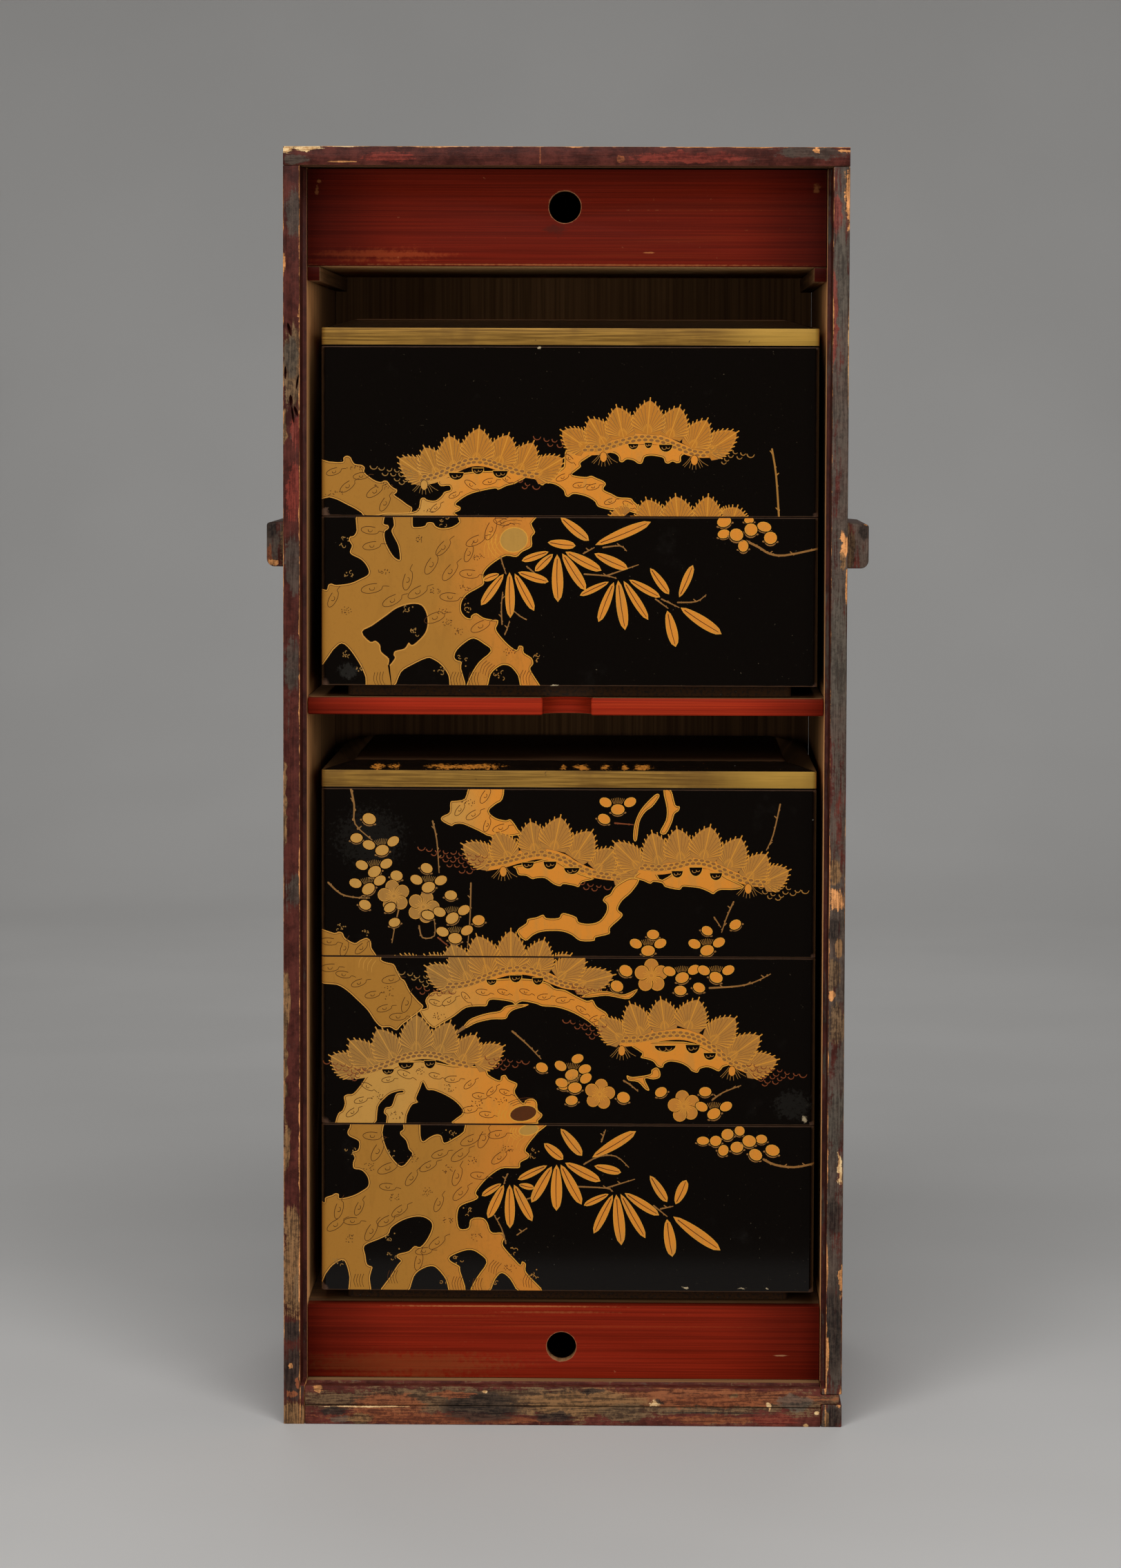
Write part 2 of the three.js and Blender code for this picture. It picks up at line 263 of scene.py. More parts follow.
class Paint:
    """One material and the nodes that make it."""

    def __init__(self, name):
        self.material = bpy.data.materials.new(name)
        self.material.use_nodes = True
        self.tree = self.material.node_tree
        self.tree.nodes.clear()
        self.place = self.add("ShaderNodeTexCoord", output="Object")
        self.x, self.y, self.z = self.split(self.place)

    def add(self, kind, settings=None, inputs=None, output=0):
        """Any node, from its type, its settings and the values or links of its sockets."""
        node = self.tree.nodes.new(kind)
        for key, value in (settings or {}).items():
            setattr(node, key, value)
        for key, value in (inputs or {}).items():
            if isinstance(value, Field):
                self.tree.links.new(value.socket, node.inputs[key])
            else:
                node.inputs[key].default_value = value
        return None if output is None else Field(self, node.outputs[output])

    def split(self, vector):
        """The three numbers of a vector."""
        node = self.add("ShaderNodeSeparateXYZ", None, {0: vector})
        outputs = node.socket.node.outputs
        return [Field(self, outputs[i]) for i in range(3)]

    def noise(self, scale, detail=3.0, roughness=0.55, distortion=0.0, source=None):
        """Noise around a half, with scale in cycles a metre."""
        return self.add("ShaderNodeTexNoise", None, {
            "Vector": source or self.place, "Scale": scale, "Detail": detail,
            "Roughness": roughness, "Distortion": distortion,
        })

    def streaks(self, scale, detail=3.0, distortion=0.3):
        """Noise drawn out along the axes by scale, in cycles a metre."""
        inputs = {"Vector": self.place, "Scale": scale}
        stretched = self.add("ShaderNodeMapping", {"vector_type": "POINT"}, inputs)
        return self.noise(1.0, detail, 0.6, distortion, stretched)

    def wobbled(self, scale, amount):
        """The place, pushed about by noise."""
        colour = self.add("ShaderNodeTexNoise", None, {
            "Vector": self.place, "Scale": scale, "Detail": 4.0, "Roughness": 0.65,
        }, output=1)
        centred = self.add("ShaderNodeVectorMath", {"operation": "SUBTRACT"}, {0: colour, 1: (0.5, 0.5, 0.5)})
        push = self.add("ShaderNodeVectorMath", {"operation": "MULTIPLY"}, {0: centred, 1: (amount,) * 3})
        return self.add("ShaderNodeVectorMath", {"operation": "ADD"}, {0: self.place, 1: push})

    def reach(self, centre, half, source):
        """How far source lies from centre, with 1 on the oval of half sizes half."""
        local = self.add("ShaderNodeMapping", {"vector_type": "TEXTURE"}, {
            "Vector": source, "Location": centre, "Scale": half,
        })
        return self.add("ShaderNodeVectorMath", {"operation": "LENGTH"}, {0: local}, output="Value")

    def spot(self, centre, half, source, soft=0.25):
        """1 inside an oval round centre with half sizes half, 0 outside it."""
        return self.step(self.reach(centre, half, source), 1.0 + soft, 1.0 - soft)

    def step(self, value, low, high):
        """A smooth rise from 0 at low to 1 at high."""
        return self.add("ShaderNodeMapRange", {"interpolation_type": "SMOOTHSTEP", "clamp": True}, {
            "Value": value, "From Min": low, "From Max": high, "To Min": 0.0, "To Max": 1.0,
        })

    def mix(self, first, second, factor, blend="MIX"):
        """Goes from the first colour to the second as factor goes from 0 to 1."""
        settings = {"data_type": "RGBA", "blend_type": blend, "clamp_factor": True}
        inputs = {0: factor}
        for key, colour in ((6, first), (7, second)):
            inputs[key] = colour if isinstance(colour, Field) else (*colour, 1.0)
        return self.add("ShaderNodeMix", settings, inputs, output=2)

    def bump(self, height, strength, distance):
        inputs = {"Height": height, "Strength": strength, "Distance": distance}
        return self.add("ShaderNodeBump", None, inputs)

    def finish(self, colour, roughness, normal, specular, metallic=0.0):
        """The material, once its shader has its sockets."""
        shader = self.add("ShaderNodeBsdfPrincipled", None, {
            "Base Color": colour, "Roughness": roughness, "Metallic": metallic, "Normal": normal,
            "Specular IOR Level": specular,
        })
        self.add("ShaderNodeOutputMaterial", None, {0: shader}, output=None)
        return self.material


def settings():
    """The settings of the case, the tiers and the studio."""
    scene = bpy.context.scene
    return scene.food_box_case, scene.food_box_tiers, scene.food_box_studio


def tone(colour, factor):
    """A colour made lighter or darker by factor."""
    return tuple(min(1.0, part * factor) for part in colour)


# Finishes


def inner_wood(name, along="z", shade=1.0, painted_front_light=None):
    """Bare straight-grained softwood, browned with age.

    Given a factor for it, light is painted in near the case's front: the wood is paler there by that factor,
    and paler still low down.
    """
    case, _, _ = settings()
    wood = tuple(case.inner_wood)
    paint = Paint(name)
    fine = {"x": (7, 520, 520), "y": (520, 7, 520), "z": (520, 520, 5)}[along]
    broad = {"x": (2, 70, 70), "y": (70, 2, 70), "z": (70, 70, 1.6)}[along]
    lines = paint.streaks(fine, 4.0, 0.4)
    bands = paint.streaks(broad, 3.0, 0.8)
    grain = paint.mix(tone(wood, 0.62 * shade), tone(wood, 1.25 * shade), paint.step(lines, 0.34, 0.66))
    late = paint.step(bands, 0.45, 0.62)
    grain = paint.mix(grain, tone(wood, 0.74 * shade), late * 0.3)
    stains = paint.step(paint.noise(9.0, 4.0, 0.6), 0.48, 0.72)
    grain = paint.mix(grain, tone((wood[0] * 0.7, wood[1] * 0.62, wood[2] * 0.6), shade), stains * 0.6)
    # Painted light: paler towards the case's front, where light falls in, and more so low down.
    if painted_front_light:
        pale = paint.mix(grain, (painted_front_light, painted_front_light * 0.96, painted_front_light * 0.88), 1.0, "MULTIPLY")
        grain = paint.mix(grain, pale, paint.step(paint.y + (stains - 0.5) * 0.02, 0.03, -0.10))
        lower = paint.mix(grain, (1.75, 1.75, 1.7), 1.0, "MULTIPLY")
        grain = paint.mix(grain, lower, paint.step(paint.z, 0.42, 0.24))
    relief = paint.bump(lines, 0.35, 0.25 * MM)
    return paint.finish(colour=grain, roughness=0.66 + lines * 0.2, normal=relief, specular=0.16)


def worn_lacquer(name, along, patches=(), slate_share=0.42, arrises=(), shade=1.0, wear=0.25, front=FRONT):
    """Old maroon lacquer gone slate in patches, rubbed through to the wood here and there.

    Each patch is (x, z, half x, half z, kind), in millimetres, on the plane y = front. Each arris is two
    pairs of (axis, place) and how wide the wear is there, in millimetres.
    """
    case, _, _ = settings()
    paint = Paint(name)
    cells = {"x": (24, 130, 130), "z": (130, 130, 18)}[along]
    fibres = {"x": (70, 480, 480), "z": (480, 480, 60)}[along]
    threads = {"x": (60, 1500, 1500), "z": (1500, 1500, 50)}[along]
    patchy = paint.streaks(cells, 5.0, 1.2)
    grain = paint.streaks(fibres, 5.0, 1.0)
    lines = paint.streaks(threads, 4.0, 0.5)
    mottle = paint.noise(95.0, 6.0, 0.72)
    grit = paint.noise(600.0, 5.0, 0.75)
    fine = (grain + grit + lines) * 0.3333
    crisp = paint.step(fine, 0.42, 0.58)
    split = paint.step(fine, 0.44, 0.57)
    lit = paint.step(mottle * 0.5 + fine * 0.5, 0.40, 0.60)
    maroon = paint.mix(tone(case.maroon, 0.50 * shade), tone(case.maroon, 1.45 * shade), lit)
    slate = paint.mix(tone(case.slate, 0.55 * shade), tone(case.slate, 1.40 * shade), crisp)
    few = 0.66 - slate_share * 0.3
    greyed = paint.step(patchy + (fine - 0.5) * 0.9, few, few + 0.12)
    colour = paint.mix(maroon, slate, greyed * 0.8)

    def grained(dark, light):
        return paint.mix(dark, light, split)

    kinds = {
        "bare": (grained(tone(case.worn_wood, 0.5), tone(case.worn_wood, 1.35)), 1.0),
        "pale": (grained((0.42, 0.22, 0.085), (0.72, 0.50, 0.25)), 1.0),
        "ochre": (grained((0.070, 0.038, 0.018), (0.25, 0.128, 0.052)), 0.9),
        "rust": (grained((0.09, 0.026, 0.012), (0.27, 0.080, 0.030)), 0.8),
        "slate": (slate, 0.7),
        "brown": (grained((0.045, 0.026, 0.015), (0.17, 0.098, 0.048)), 0.95),
        "dark": (grained((0.010, 0.008, 0.007), (0.045, 0.030, 0.022)), 0.85),
        "red": (grained((0.085, 0.012, 0.008), (0.20, 0.032, 0.020)), 0.75),
    }
    rare = 0.72 - wear * 0.25
    rubbed = paint.step(grain * 0.55 + mottle * 0.45 + (grit - 0.5) * 0.5, rare, rare + 0.08)
    colour = paint.mix(colour, kinds["brown"][0], rubbed * 0.75)
    loss = rubbed * 0.4
    shaken = paint.wobbled(150.0, 0.0065)
    for x, z, half_x, half_z, kind in patches:
        source = paint.place if min(half_x, half_z) < 1.0 else shaken
        mask = paint.spot((x * MM, front, z * MM), (half_x * MM, 5 * MM, half_z * MM), source, 0.6)
        ragged = paint.step(mask + (fine - 0.5) * 3.0, 0.42, 0.74)
        colour_of_kind, strength = kinds[kind]
        colour = paint.mix(colour, colour_of_kind, ragged * strength)
        if kind in ("bare", "pale", "brown", "ochre"):
            loss = loss.high(ragged)
    axes = {"x": paint.x, "y": paint.y, "z": paint.z}
    chips = paint.noise(260.0, 5.0, 0.7)
    long_chips = paint.noise(34.0, 3.0, 0.6)
    for (axis_a, place_a), (axis_b, place_b), width in arrises:
        near = abs(axes[axis_a] - place_a).high(abs(axes[axis_b] - place_b))
        ragged = paint.step(chips, 0.42, 0.70) * 0.9 + paint.step(long_chips, 0.50, 0.66) * 1.6
        worn = paint.step(near - (0.25 + ragged) * (width * MM), 0.12 * MM, -0.12 * MM)
        colour = paint.mix(colour, kinds["bare"][0], worn)
        loss = loss.high(worn)
    height = fine * 0.9 + mottle * 0.5 - loss * 0.5
    relief = paint.bump(height, 0.75, 0.6 * MM)
    roughness = 0.40 + mottle * 0.22 + loss * 0.25
    return paint.finish(colour=colour, roughness=roughness, normal=relief, specular=0.14)


def red_lacquer(name, patches=(), bright=1.0, ends=0.5, scars=0.0, hole=None):
    """Clear red lacquer over a fine level grain, with painted shade at both ends, where it is darker by the
    factor ends.

    Each patch is (x, z, half x, half z, colour, strength), in millimetres. hole is the (x, z, radius) of a
    finger hole whose arris is worn to the wood, in metres.
    """
    case, _, _ = settings()
    red = tuple(case.red)
    paint = Paint(name)
    lines = paint.streaks((5, 40, 900), 4.0, 0.3)
    threads = paint.streaks((12, 60, 2100), 3.0, 0.3)
    bands = paint.streaks((2.2, 30, 70), 3.0, 1.6)
    grain = paint.step(lines * 0.6 + threads * 0.4, 0.40, 0.60)
    colour = paint.mix(tone(red, 0.74 * bright), tone(red, 1.18 * bright), grain)
    deep = tone((red[0] * 0.60, red[1] * 0.8, red[2]), bright)
    colour = paint.mix(colour, deep, paint.step(bands, 0.5, 0.7) * 0.1)
    amber = tone((red[0] * 1.2, red[1] * 3.4, red[2] * 2.2), bright)
    colour = paint.mix(colour, amber, paint.step(bands, 0.45, 0.26) * grain * 0.2)
    shaken = paint.wobbled(120.0, 0.008)
    fleck = paint.noise(420.0, 4.0, 0.7)
    for x, z, half_x, half_z, patch, strength in patches:
        source = paint.place if half_z < 1.0 else shaken
        mask = paint.spot((x * MM, RECESS, z * MM), (half_x * MM, 50 * MM, half_z * MM), source, 0.9)
        ragged = paint.step(mask + (lines - 0.5) * 1.6 + (fleck - 0.5) * 1.4, 0.40, 1.0)
        colour = paint.mix(colour, patch, ragged * strength)
    if scars:
        marks = paint.step(paint.noise(210.0, 3.0, 0.7), 0.70, 0.76) * scars
        colour = paint.mix(colour, (0.36, 0.12, 0.05), marks)
    if hole:
        x, z, radius = hole
        reach = paint.reach((x, RECESS, z), (radius, 1.0, radius), paint.place)
        rim = paint.step(abs(reach - 1.0) - (fleck - 0.5) * 0.16, 0.05, 0.02)
        colour = paint.mix(colour, (0.30, 0.125, 0.055), rim * 0.7)
    # Painted shade: towards both ends of the front the colour is darkened by the factor ends.
    painted_end_shade = paint.step(abs(paint.x) + (bands - 0.5) * 0.02, 76 * MM, 122 * MM)
    dark = paint.mix(colour, (ends,) * 3, 1.0, "MULTIPLY")
    colour = paint.mix(colour, dark, painted_end_shade)
    haze = paint.noise(40.0, 4.0, 0.6)
    relief = paint.bump(lines * 0.7 + haze * 0.4, 0.14, 0.3 * MM)
    return paint.finish(colour=colour, roughness=0.44 + haze * 0.16, normal=relief, specular=0.06)


def black_lacquer(name, box, marks=()):
    """Deep glossy black, with dust, dull blooms and browned arrises, and rough where it goes below the box.

    Each mark is (x, height over the foot, half x, half z, colour, strength), in millimetres, on the front.
    """
    _, tiers, _ = settings()
    low, high = box
    paint = Paint(name)
    black = tuple(tiers.black)
    bloom = paint.step(paint.noise(26.0, 5.0, 0.7), 0.60, 0.82)
    colour = paint.mix(black, (0.011, 0.009, 0.0075), bloom * 0.5)
    specks = paint.add("ShaderNodeTexVoronoi", {"feature": "F1"}, {"Vector": paint.place, "Scale": 150.0})
    rare = paint.step(paint.noise(300.0, 2.0), 0.66, 0.7)
    dust = paint.step(specks, 0.09, 0.03) * rare
    colour = paint.mix(colour, (0.20, 0.18, 0.15), dust * 0.7)
    edge = (high.z - paint.z).low(paint.z - low.z)
    sides = (high.x - paint.x).low(paint.x - low.x)
    front = paint.y - low.y
    rough_edge = paint.noise(160.0, 4.0, 0.6)
    worn = paint.step(edge - rough_edge * (0.5 * MM), 0.35 * MM, 0.1 * MM)
    corner = paint.step(sides.high(front) - rough_edge * (1.2 * MM), 0.9 * MM, 0.4 * MM)
    colour = paint.mix(colour, (0.050, 0.022, 0.009), (worn * 0.7).high(corner * 0.3))
    shaken = paint.wobbled(260.0, 0.004)
    corners = ((low.x, low.z, 3.4), (low.x, high.z, 1.2), (high.x, low.z, 2.4), (high.x, high.z, 1.4))
    for x, z, size in corners:
        chip = paint.spot((x, low.y, z), (size * MM,) * 3, shaken)
        colour = paint.mix(colour, (0.070, 0.036, 0.022), chip * 0.8)
    grit = paint.noise(700.0, 4.0, 0.7)
    for x, z, half_x, half_z, colour_of_mark, strength in marks:
        mask = paint.spot((x * MM, low.y, low.z + z * MM), (half_x * MM, 12 * MM, half_z * MM), shaken, 0.7)
        ragged = paint.step(mask + (grit - 0.5) * 2.4, 0.45, 0.95) * strength
        colour = paint.mix(colour, colour_of_mark, ragged)
    scratch = paint.streaks((60, 60, 900), 3.0, 0.2)
    relief = paint.bump(paint.noise(30.0, 2.0), 0.035, 0.4 * MM)
    below = paint.step(paint.z, low.z, low.z - 0.3 * MM)
    colour = paint.mix(colour, (0.012, 0.009, 0.007), below * paint.step(grit, 0.45, 0.65))
    colour = paint.mix(colour, (0.16, 0.13, 0.09), below * paint.step(grit, 0.66, 0.72))
    roughness = 0.085 + bloom * 0.12 + (worn * 0.45).high(below * 0.6) + paint.step(scratch, 0.6, 0.8) * 0.05
    return paint.finish(colour=colour, roughness=roughness, normal=relief, specular=0.18)


def gold_lacquer(name, colour, other, metallic, roughness, drift):
    """Sprinkled gold on lacquer, which goes from colour to other between the two places x of drift."""
    paint = Paint(name)
    clouds = paint.noise(14.0, 3.0, 0.5)
    clouds = paint.step(paint.x + (clouds - 0.5) * 0.09, *drift)
    grains = paint.noise(900.0, 2.0, 0.6)
    brushed = paint.streaks((240, 240, 60), 3.0, 0.6)
    mixed = paint.mix(colour, other, clouds)
    mixed = paint.mix(mixed, tone(colour, 0.7), paint.step(grains, 0.55, 0.75) * 0.25)
    mixed = paint.mix(mixed, tone(colour, 0.82), paint.step(brushed, 0.5, 0.7) * 0.35)
    relief = paint.bump(grains * 0.5 + brushed * 0.5, 0.10, 0.1 * MM)
    rough = roughness + grains * 0.12
    return paint.finish(colour=mixed, roughness=rough, metallic=metallic, normal=relief, specular=0.16)


def rim_gold(name):
    """The dull brushed gold of a lid's rim, rubbed and chipped, brighter at the right end."""
    paint = Paint(name)
    brushed = paint.streaks((26, 26, 1300), 4.0, 0.25)
    clouds = paint.noise(30.0, 4.0, 0.6)
    colour = paint.mix((0.15, 0.074, 0.012), (0.33, 0.175, 0.032), paint.step(brushed, 0.36, 0.64))
    colour = paint.mix(colour, (0.12, 0.058, 0.012), paint.step(clouds, 0.45, 0.7) * 0.6)
    right = paint.step(paint.x + (clouds - 0.5) * 0.03, 70 * MM, 100 * MM)
    colour = paint.mix(colour, (0.50, 0.29, 0.050), right * 0.55)
    chips = paint.step(paint.noise(190.0, 5.0, 0.7), 0.68, 0.73)
    colour = paint.mix(colour, (0.035, 0.018, 0.010), chips * 0.8)
    left = paint.step(paint.x, -108 * MM, -116 * MM)
    lost = paint.step(paint.noise(150.0, 4.0, 0.7), 0.70, 0.74) * left
    colour = paint.mix(colour, (0.62, 0.50, 0.34), lost)
    relief = paint.bump(brushed * 0.5 + chips, 0.2, 0.2 * MM)
    rough = 0.40 + clouds * 0.2
    return paint.finish(colour=colour, roughness=rough, metallic=0.25, normal=relief, specular=0.2)


# Mesh helpers


def nothing_selected():
    """Goes to object mode and deselects everything."""
    if bpy.context.mode != "OBJECT":
        bpy.ops.object.mode_set(mode="OBJECT")
    bpy.ops.object.select_all(action="DESELECT")


def edit(piece, mode="FACE"):
    """Opens the piece in edit mode with nothing of it selected."""
    nothing_selected()
    bpy.context.view_layer.objects.active = piece
    piece.select_set(True)
    bpy.ops.object.mode_set(mode="EDIT")
    bpy.ops.mesh.select_mode(type=mode)
    bpy.ops.mesh.select_all(action="DESELECT")


def pick(piece, test, kind="faces"):
    """In edit mode, selects the faces, edges or vertices that pass the test, and no others."""
    mesh = bmesh.from_edit_mesh(piece.data)
    for layer in (mesh.verts, mesh.edges, mesh.faces):
        for item in layer:
            item.select_set(False)
    count = 0
    for item in getattr(mesh, kind):
        if test(item):
            item.select_set(True)
            count += 1
    mesh.select_flush_mode()
    bmesh.update_edit_mesh(piece.data)
    if not count:
        raise RuntimeError(f"{piece.name} has no {kind} to select")


def box_piece(name, low, high):
    """A box between two corners, with its place in its mesh."""
    nothing_selected()
    low, high = Vector(low), Vector(high)
    bpy.ops.mesh.primitive_cube_add(size=1.0, location=(low + high) / 2, scale=high - low)
    piece = bpy.context.object
    piece.name = piece.data.name = name
    bpy.ops.object.transform_apply(location=True, rotation=True, scale=True)
    return piece


def object_mode(piece):
    """Goes to object mode with only the piece selected."""
    bpy.ops.object.mode_set(mode="OBJECT")
    nothing_selected()
    bpy.context.view_layer.objects.active = piece
    piece.select_set(True)


def rounded(piece, width, segments=2, angle=30.0):
    """Rounds the sharp edges with a Bevel modifier and applies it."""
    object_mode(piece)
    bevel = piece.modifiers.new("Arris", "BEVEL")
    bevel.width = width
    bevel.segments = segments
    bevel.limit_method = "ANGLE"
    bevel.angle_limit = math.radians(angle)
    bevel.harden_normals = False
    bpy.ops.object.modifier_apply(modifier=bevel.name)


def smooth(piece, angle=32.0):
    """Smooth shading, with edges sharp from angle up."""
    object_mode(piece)
    bpy.ops.object.shade_smooth_by_angle(angle=math.radians(angle))


def from_node(node, name, width, segments=2):
    """A copy of a CAD node's mesh, merged, with its flat faces whole again and its arrises rounded."""
    nothing_selected()
    piece = bpy.data.objects.new(name, frame["nodes"][node].data.copy())
    piece.data.name = name
    bpy.context.scene.collection.objects.link(piece)
    edit(piece, "VERT")
    bpy.ops.mesh.select_all(action="SELECT")
    bpy.ops.mesh.remove_doubles(threshold=0.000005)
    bpy.ops.mesh.dissolve_limited(angle_limit=math.radians(0.6), use_dissolve_boundaries=False)
    object_mode(piece)
    piece.data.materials.clear()
    if width:
        rounded(piece, width, segments)
    smooth(piece)
    return piece


def settle(piece, node, slot, *others):
    """Puts the piece in its CAD node's stead."""
    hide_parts(node, *others)
    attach(piece, BODY_OF[node])


# Drawing of the gold pictures


def through(points, closed=True, steps=3):
    """A smooth line through points."""
    points = [Vector(p) for p in points]
    count = len(points)
    line = []
    for i in range(count if closed else count - 1):
        if closed:
            a, b, c, d = (points[(i + k) % count] for k in (-1, 0, 1, 2))
        else:
            a, b, c, d = (points[min(max(i + k, 0), count - 1)] for k in (-1, 0, 1, 2))
        for j in range(steps):
            t = j / steps
            line.append(
                0.5 * (2 * b + (c - a) * t + (2 * a - 5 * b + 4 * c - d) * t ** 2
                       + (3 * b - a - 3 * c + d) * t ** 3)
            )
    if not closed:
        line.append(points[-1])
    return line


def area(points):
    """The area inside a closed line, below 0 where it runs the other way round."""
    return sum(a.x * b.y - b.x * a.y for a, b in zip(points, points[1:] + points[:1])) / 2


def shrunk(points, by):
    """A closed line moved inwards."""
    turn = 1 if area(points) > 0 else -1
    count = len(points)
    moved = []
    for i, point in enumerate(points):
        along = points[(i + 1) % count] - points[i - 1]
        if along.length < 1e-6:
            along = Vector((1.0, 0.0))
        along.normalize()
        moved.append(point + turn * by * Vector((-along.y, along.x)))
    return moved


def turned(point, angle):
    """A point turned about the origin by angle in degrees."""
    turn = math.radians(angle)
    c, s = math.cos(turn), math.sin(turn)
    return Vector((point[0] * c - point[1] * s, point[0] * s + point[1] * c))


def placed(points, u, v, angle):
    """Points turned by angle in degrees and moved to (u, v)."""
    return [Vector((u, v)) + turned(point, angle) for point in points]


def arc(half_u, half_v, start, step, count):
    """Points on an oval round the origin, from the angle start on, in degrees."""
    angles = [math.radians(start + step * k) for k in range(count)]
    return [(half_u * math.cos(a), half_v * math.sin(a)) for a in angles]


def oval(u, v, half_u, half_v, angle=0.0, count=14):
    """A closed oval, turned by angle in degrees."""
    rim = [(half_u * math.cos(a), half_v * math.sin(a)) for a in (k * math.tau / count for k in range(count))]
    return placed(rim, u, v, angle)


def blade(base, tip, half, shape, steps=9):
    """A leaf from base to tip whose half width at t is half * shape(t)."""
    base, tip = Vector(base), Vector(tip)
    axis = tip - base
    side = Vector((-axis.y, axis.x)).normalized()
    stations = [k / steps for k in range(1, steps)]
    left = [base + axis * t + side * half * shape(t) for t in stations]
    right = [base + axis * t - side * half * shape(t) for t in reversed(stations)]
    return [base, *left, tip, *right]


def leaf_shape(t):
    """The half width of a bamboo leaf, widest past its middle."""
    return math.sin(math.pi * t) ** 0.5 * (0.72 + 0.3 * t)


def tuft_shape(t):
    """The half width of a pine tuft, widest below its middle."""
    return math.sin(math.pi * min(0.24 + 0.76 * t, 1.0)) ** 0.72


class Sketch:
    """The picture on one tier's front: closed outlines, each with the name of its tone, in painting order.

    Points are (u, v) on a grid of about 12 squares to a millimetre, with v downwards. corners are the places
    of the front's upper left, upper right, lower left and lower right corners on that grid.
    """

    def __init__(self, corners, seed, needles):
        self.corners = [Vector(c) for c in corners]
        self.shapes = []
        self.chance = random.Random(seed)
        self.needles = needles

    def fill(self, points, name):
        points = [Vector(p) for p in points]
        if area(points) < 0:
            points.reverse()
        self.shapes.append((points, name))

    def stroke(self, points, width, name, end=None, steps=3):
        """A line of the given width, which runs out to the width end."""
        end = width if end is None else end
        line = through(points, False, steps)
        left, right = [], []
        for i, point in enumerate(line):
            along = (line[min(i + 1, len(line) - 1)] - line[max(i - 1, 0)]).normalized()
            side = Vector((-along.y, along.x))
            half = (width + (end - width) * i / (len(line) - 1)) / 2
            left.append(point + side * half)
            right.append(point - side * half)
        head = (line[0] - line[1]).normalized() * width * 0.45
        tail = (line[-1] - line[-2]).normalized() * end * 0.45
        self.fill([line[0] + head, *left, line[-1] + tail, *reversed(right)], name)

    # Pine

    def tuft(self, base, tip, half, ground):
        """A fan of needles: a pointed leaf with rays from its foot, which end in short spikes outside it."""
        base, tip = Vector(base), Vector(tip)
        axis = tip - base
        side = Vector((-axis.y, axis.x)).normalized()
        flanks = []
        for way in (1, -1):
            steps = (0.0, 0.14, 0.30, 0.46, 0.62, 0.77, 0.90)
            flanks.append([base + axis * t + side * way * half * tuft_shape(t) for t in steps])
        outline = [*flanks[0], tip, *reversed(flanks[1])]
        self.fill(shrunk(outline, -2.5), "scale")
        self.fill(outline, ground)
        foot = base + axis * 0.02
        for way in (1, -1):
            for k in range(self.needles):
                t = 0.16 + 0.80 * (k + 0.5) / self.needles
                end = base + axis * t + side * way * half * tuft_shape(t)
                ray = end - foot
                out = (ray.normalized() + axis.normalized() * 0.5).normalized()
                self.stroke([foot + ray * 0.22, end - ray.normalized() * 3], 2.2, "needle", 5.0, steps=1)
                beside = base + axis * (t - 0.4 / self.needles) + side * way * half * tuft_shape(t) * 0.93
                self.stroke([foot + (beside - foot) * 0.34, beside], 2.2, "scale", 4.2, steps=1)
                self.stroke([end - out * 4, end + out * 16], 6.0, "needle", 6.5, steps=1)
        self.stroke([base, tip + axis.normalized() * 18], 4.0, "needle", 7.0, steps=1)

    def rope(self, path, width, ground):
        """The band of scales along the foot of the tufts."""
        self.stroke(path, width, ground, width * 0.5, steps=4)
        line = through(path, False, 12)
        gone, pitch, row = 0.0, 30.0, 0
        for a, b in zip(line, line[1:]):
            gone += (b - a).length
            if gone < pitch / 2:
                continue
            gone = 0.0
            row += 1
            along = (b - a).normalized()
            side = Vector((-along.y, along.x)) * width * (0.22 if row % 2 else -0.22)
            angle = math.degrees(math.atan2(along.y, along.x)) - 4
            spot = a + side
            self.fill(oval(spot.x, spot.y, pitch * 0.62, width * 0.27, angle, 10), "needle")
            self.fill(oval(spot.x, spot.y, pitch * 0.62 - 4.5, width * 0.27 - 3.5, angle, 10), "scale")

    def pine(self, tufts, path, ground="khaki", width=44):
        """Tufts are (base, tip, half width), the outer ones first, over a band of scales."""
        self.stroke(path, width * 1.9, "gold", width, steps=4)
        count = len(tufts)
        order = sorted(range(count), key=lambda i: -abs(i - (count - 1) / 2))
        for i in order:
            self.tuft(*tufts[i], ground)
        self.rope(path, width, ground)

    def window(self, u, v, half_u, half_v, curl="moss"):
        """An opening under the scales, with a small curl in it."""
        arch = [(u + half_u * math.cos(a), v + half_v * 2.3 * math.sin(a) - half_v)
                for a in (k * math.pi / 9 for k in range(10))]
        self.fill(shrunk([Vector(p) for p in arch], -4), "edge")
        self.fill(arch, "black")
        self.cup(u - half_u * 0.22, v - half_v * 0.2, half_u * 0.34, curl, 5.5)
        self.cup(u + half_u * 0.34, v - half_v * 0.35, half_u * 0.28, curl, 5.0)

    def cone(self, u, v, ground="gold"):
        """A hanging bud between fine hairs."""
        for k in range(8):
            lean = (k - 3.5) / 3.5
            tip = (u + lean * (68 + 14 * (k % 2)), v + 58 - 26 * abs(lean))
            self.stroke([(u + lean * 18, v - 22), (u + lean * 45, v + 10), tip], 3.2, "moss", 2.4)
        self.fill(oval(u, v, 23, 32, 0, 12), "black")
        self.fill(oval(u, v, 20, 29, 0, 12), ground)

    # Curls

    def cup(self, u, v, size, name, width=5.0, turn=0.0):
        """An open curl like a cup."""
        self.stroke(placed(arc(size, size, 172, -158 / 6, 7), u, v, turn), width, name, width * 0.55, steps=2)

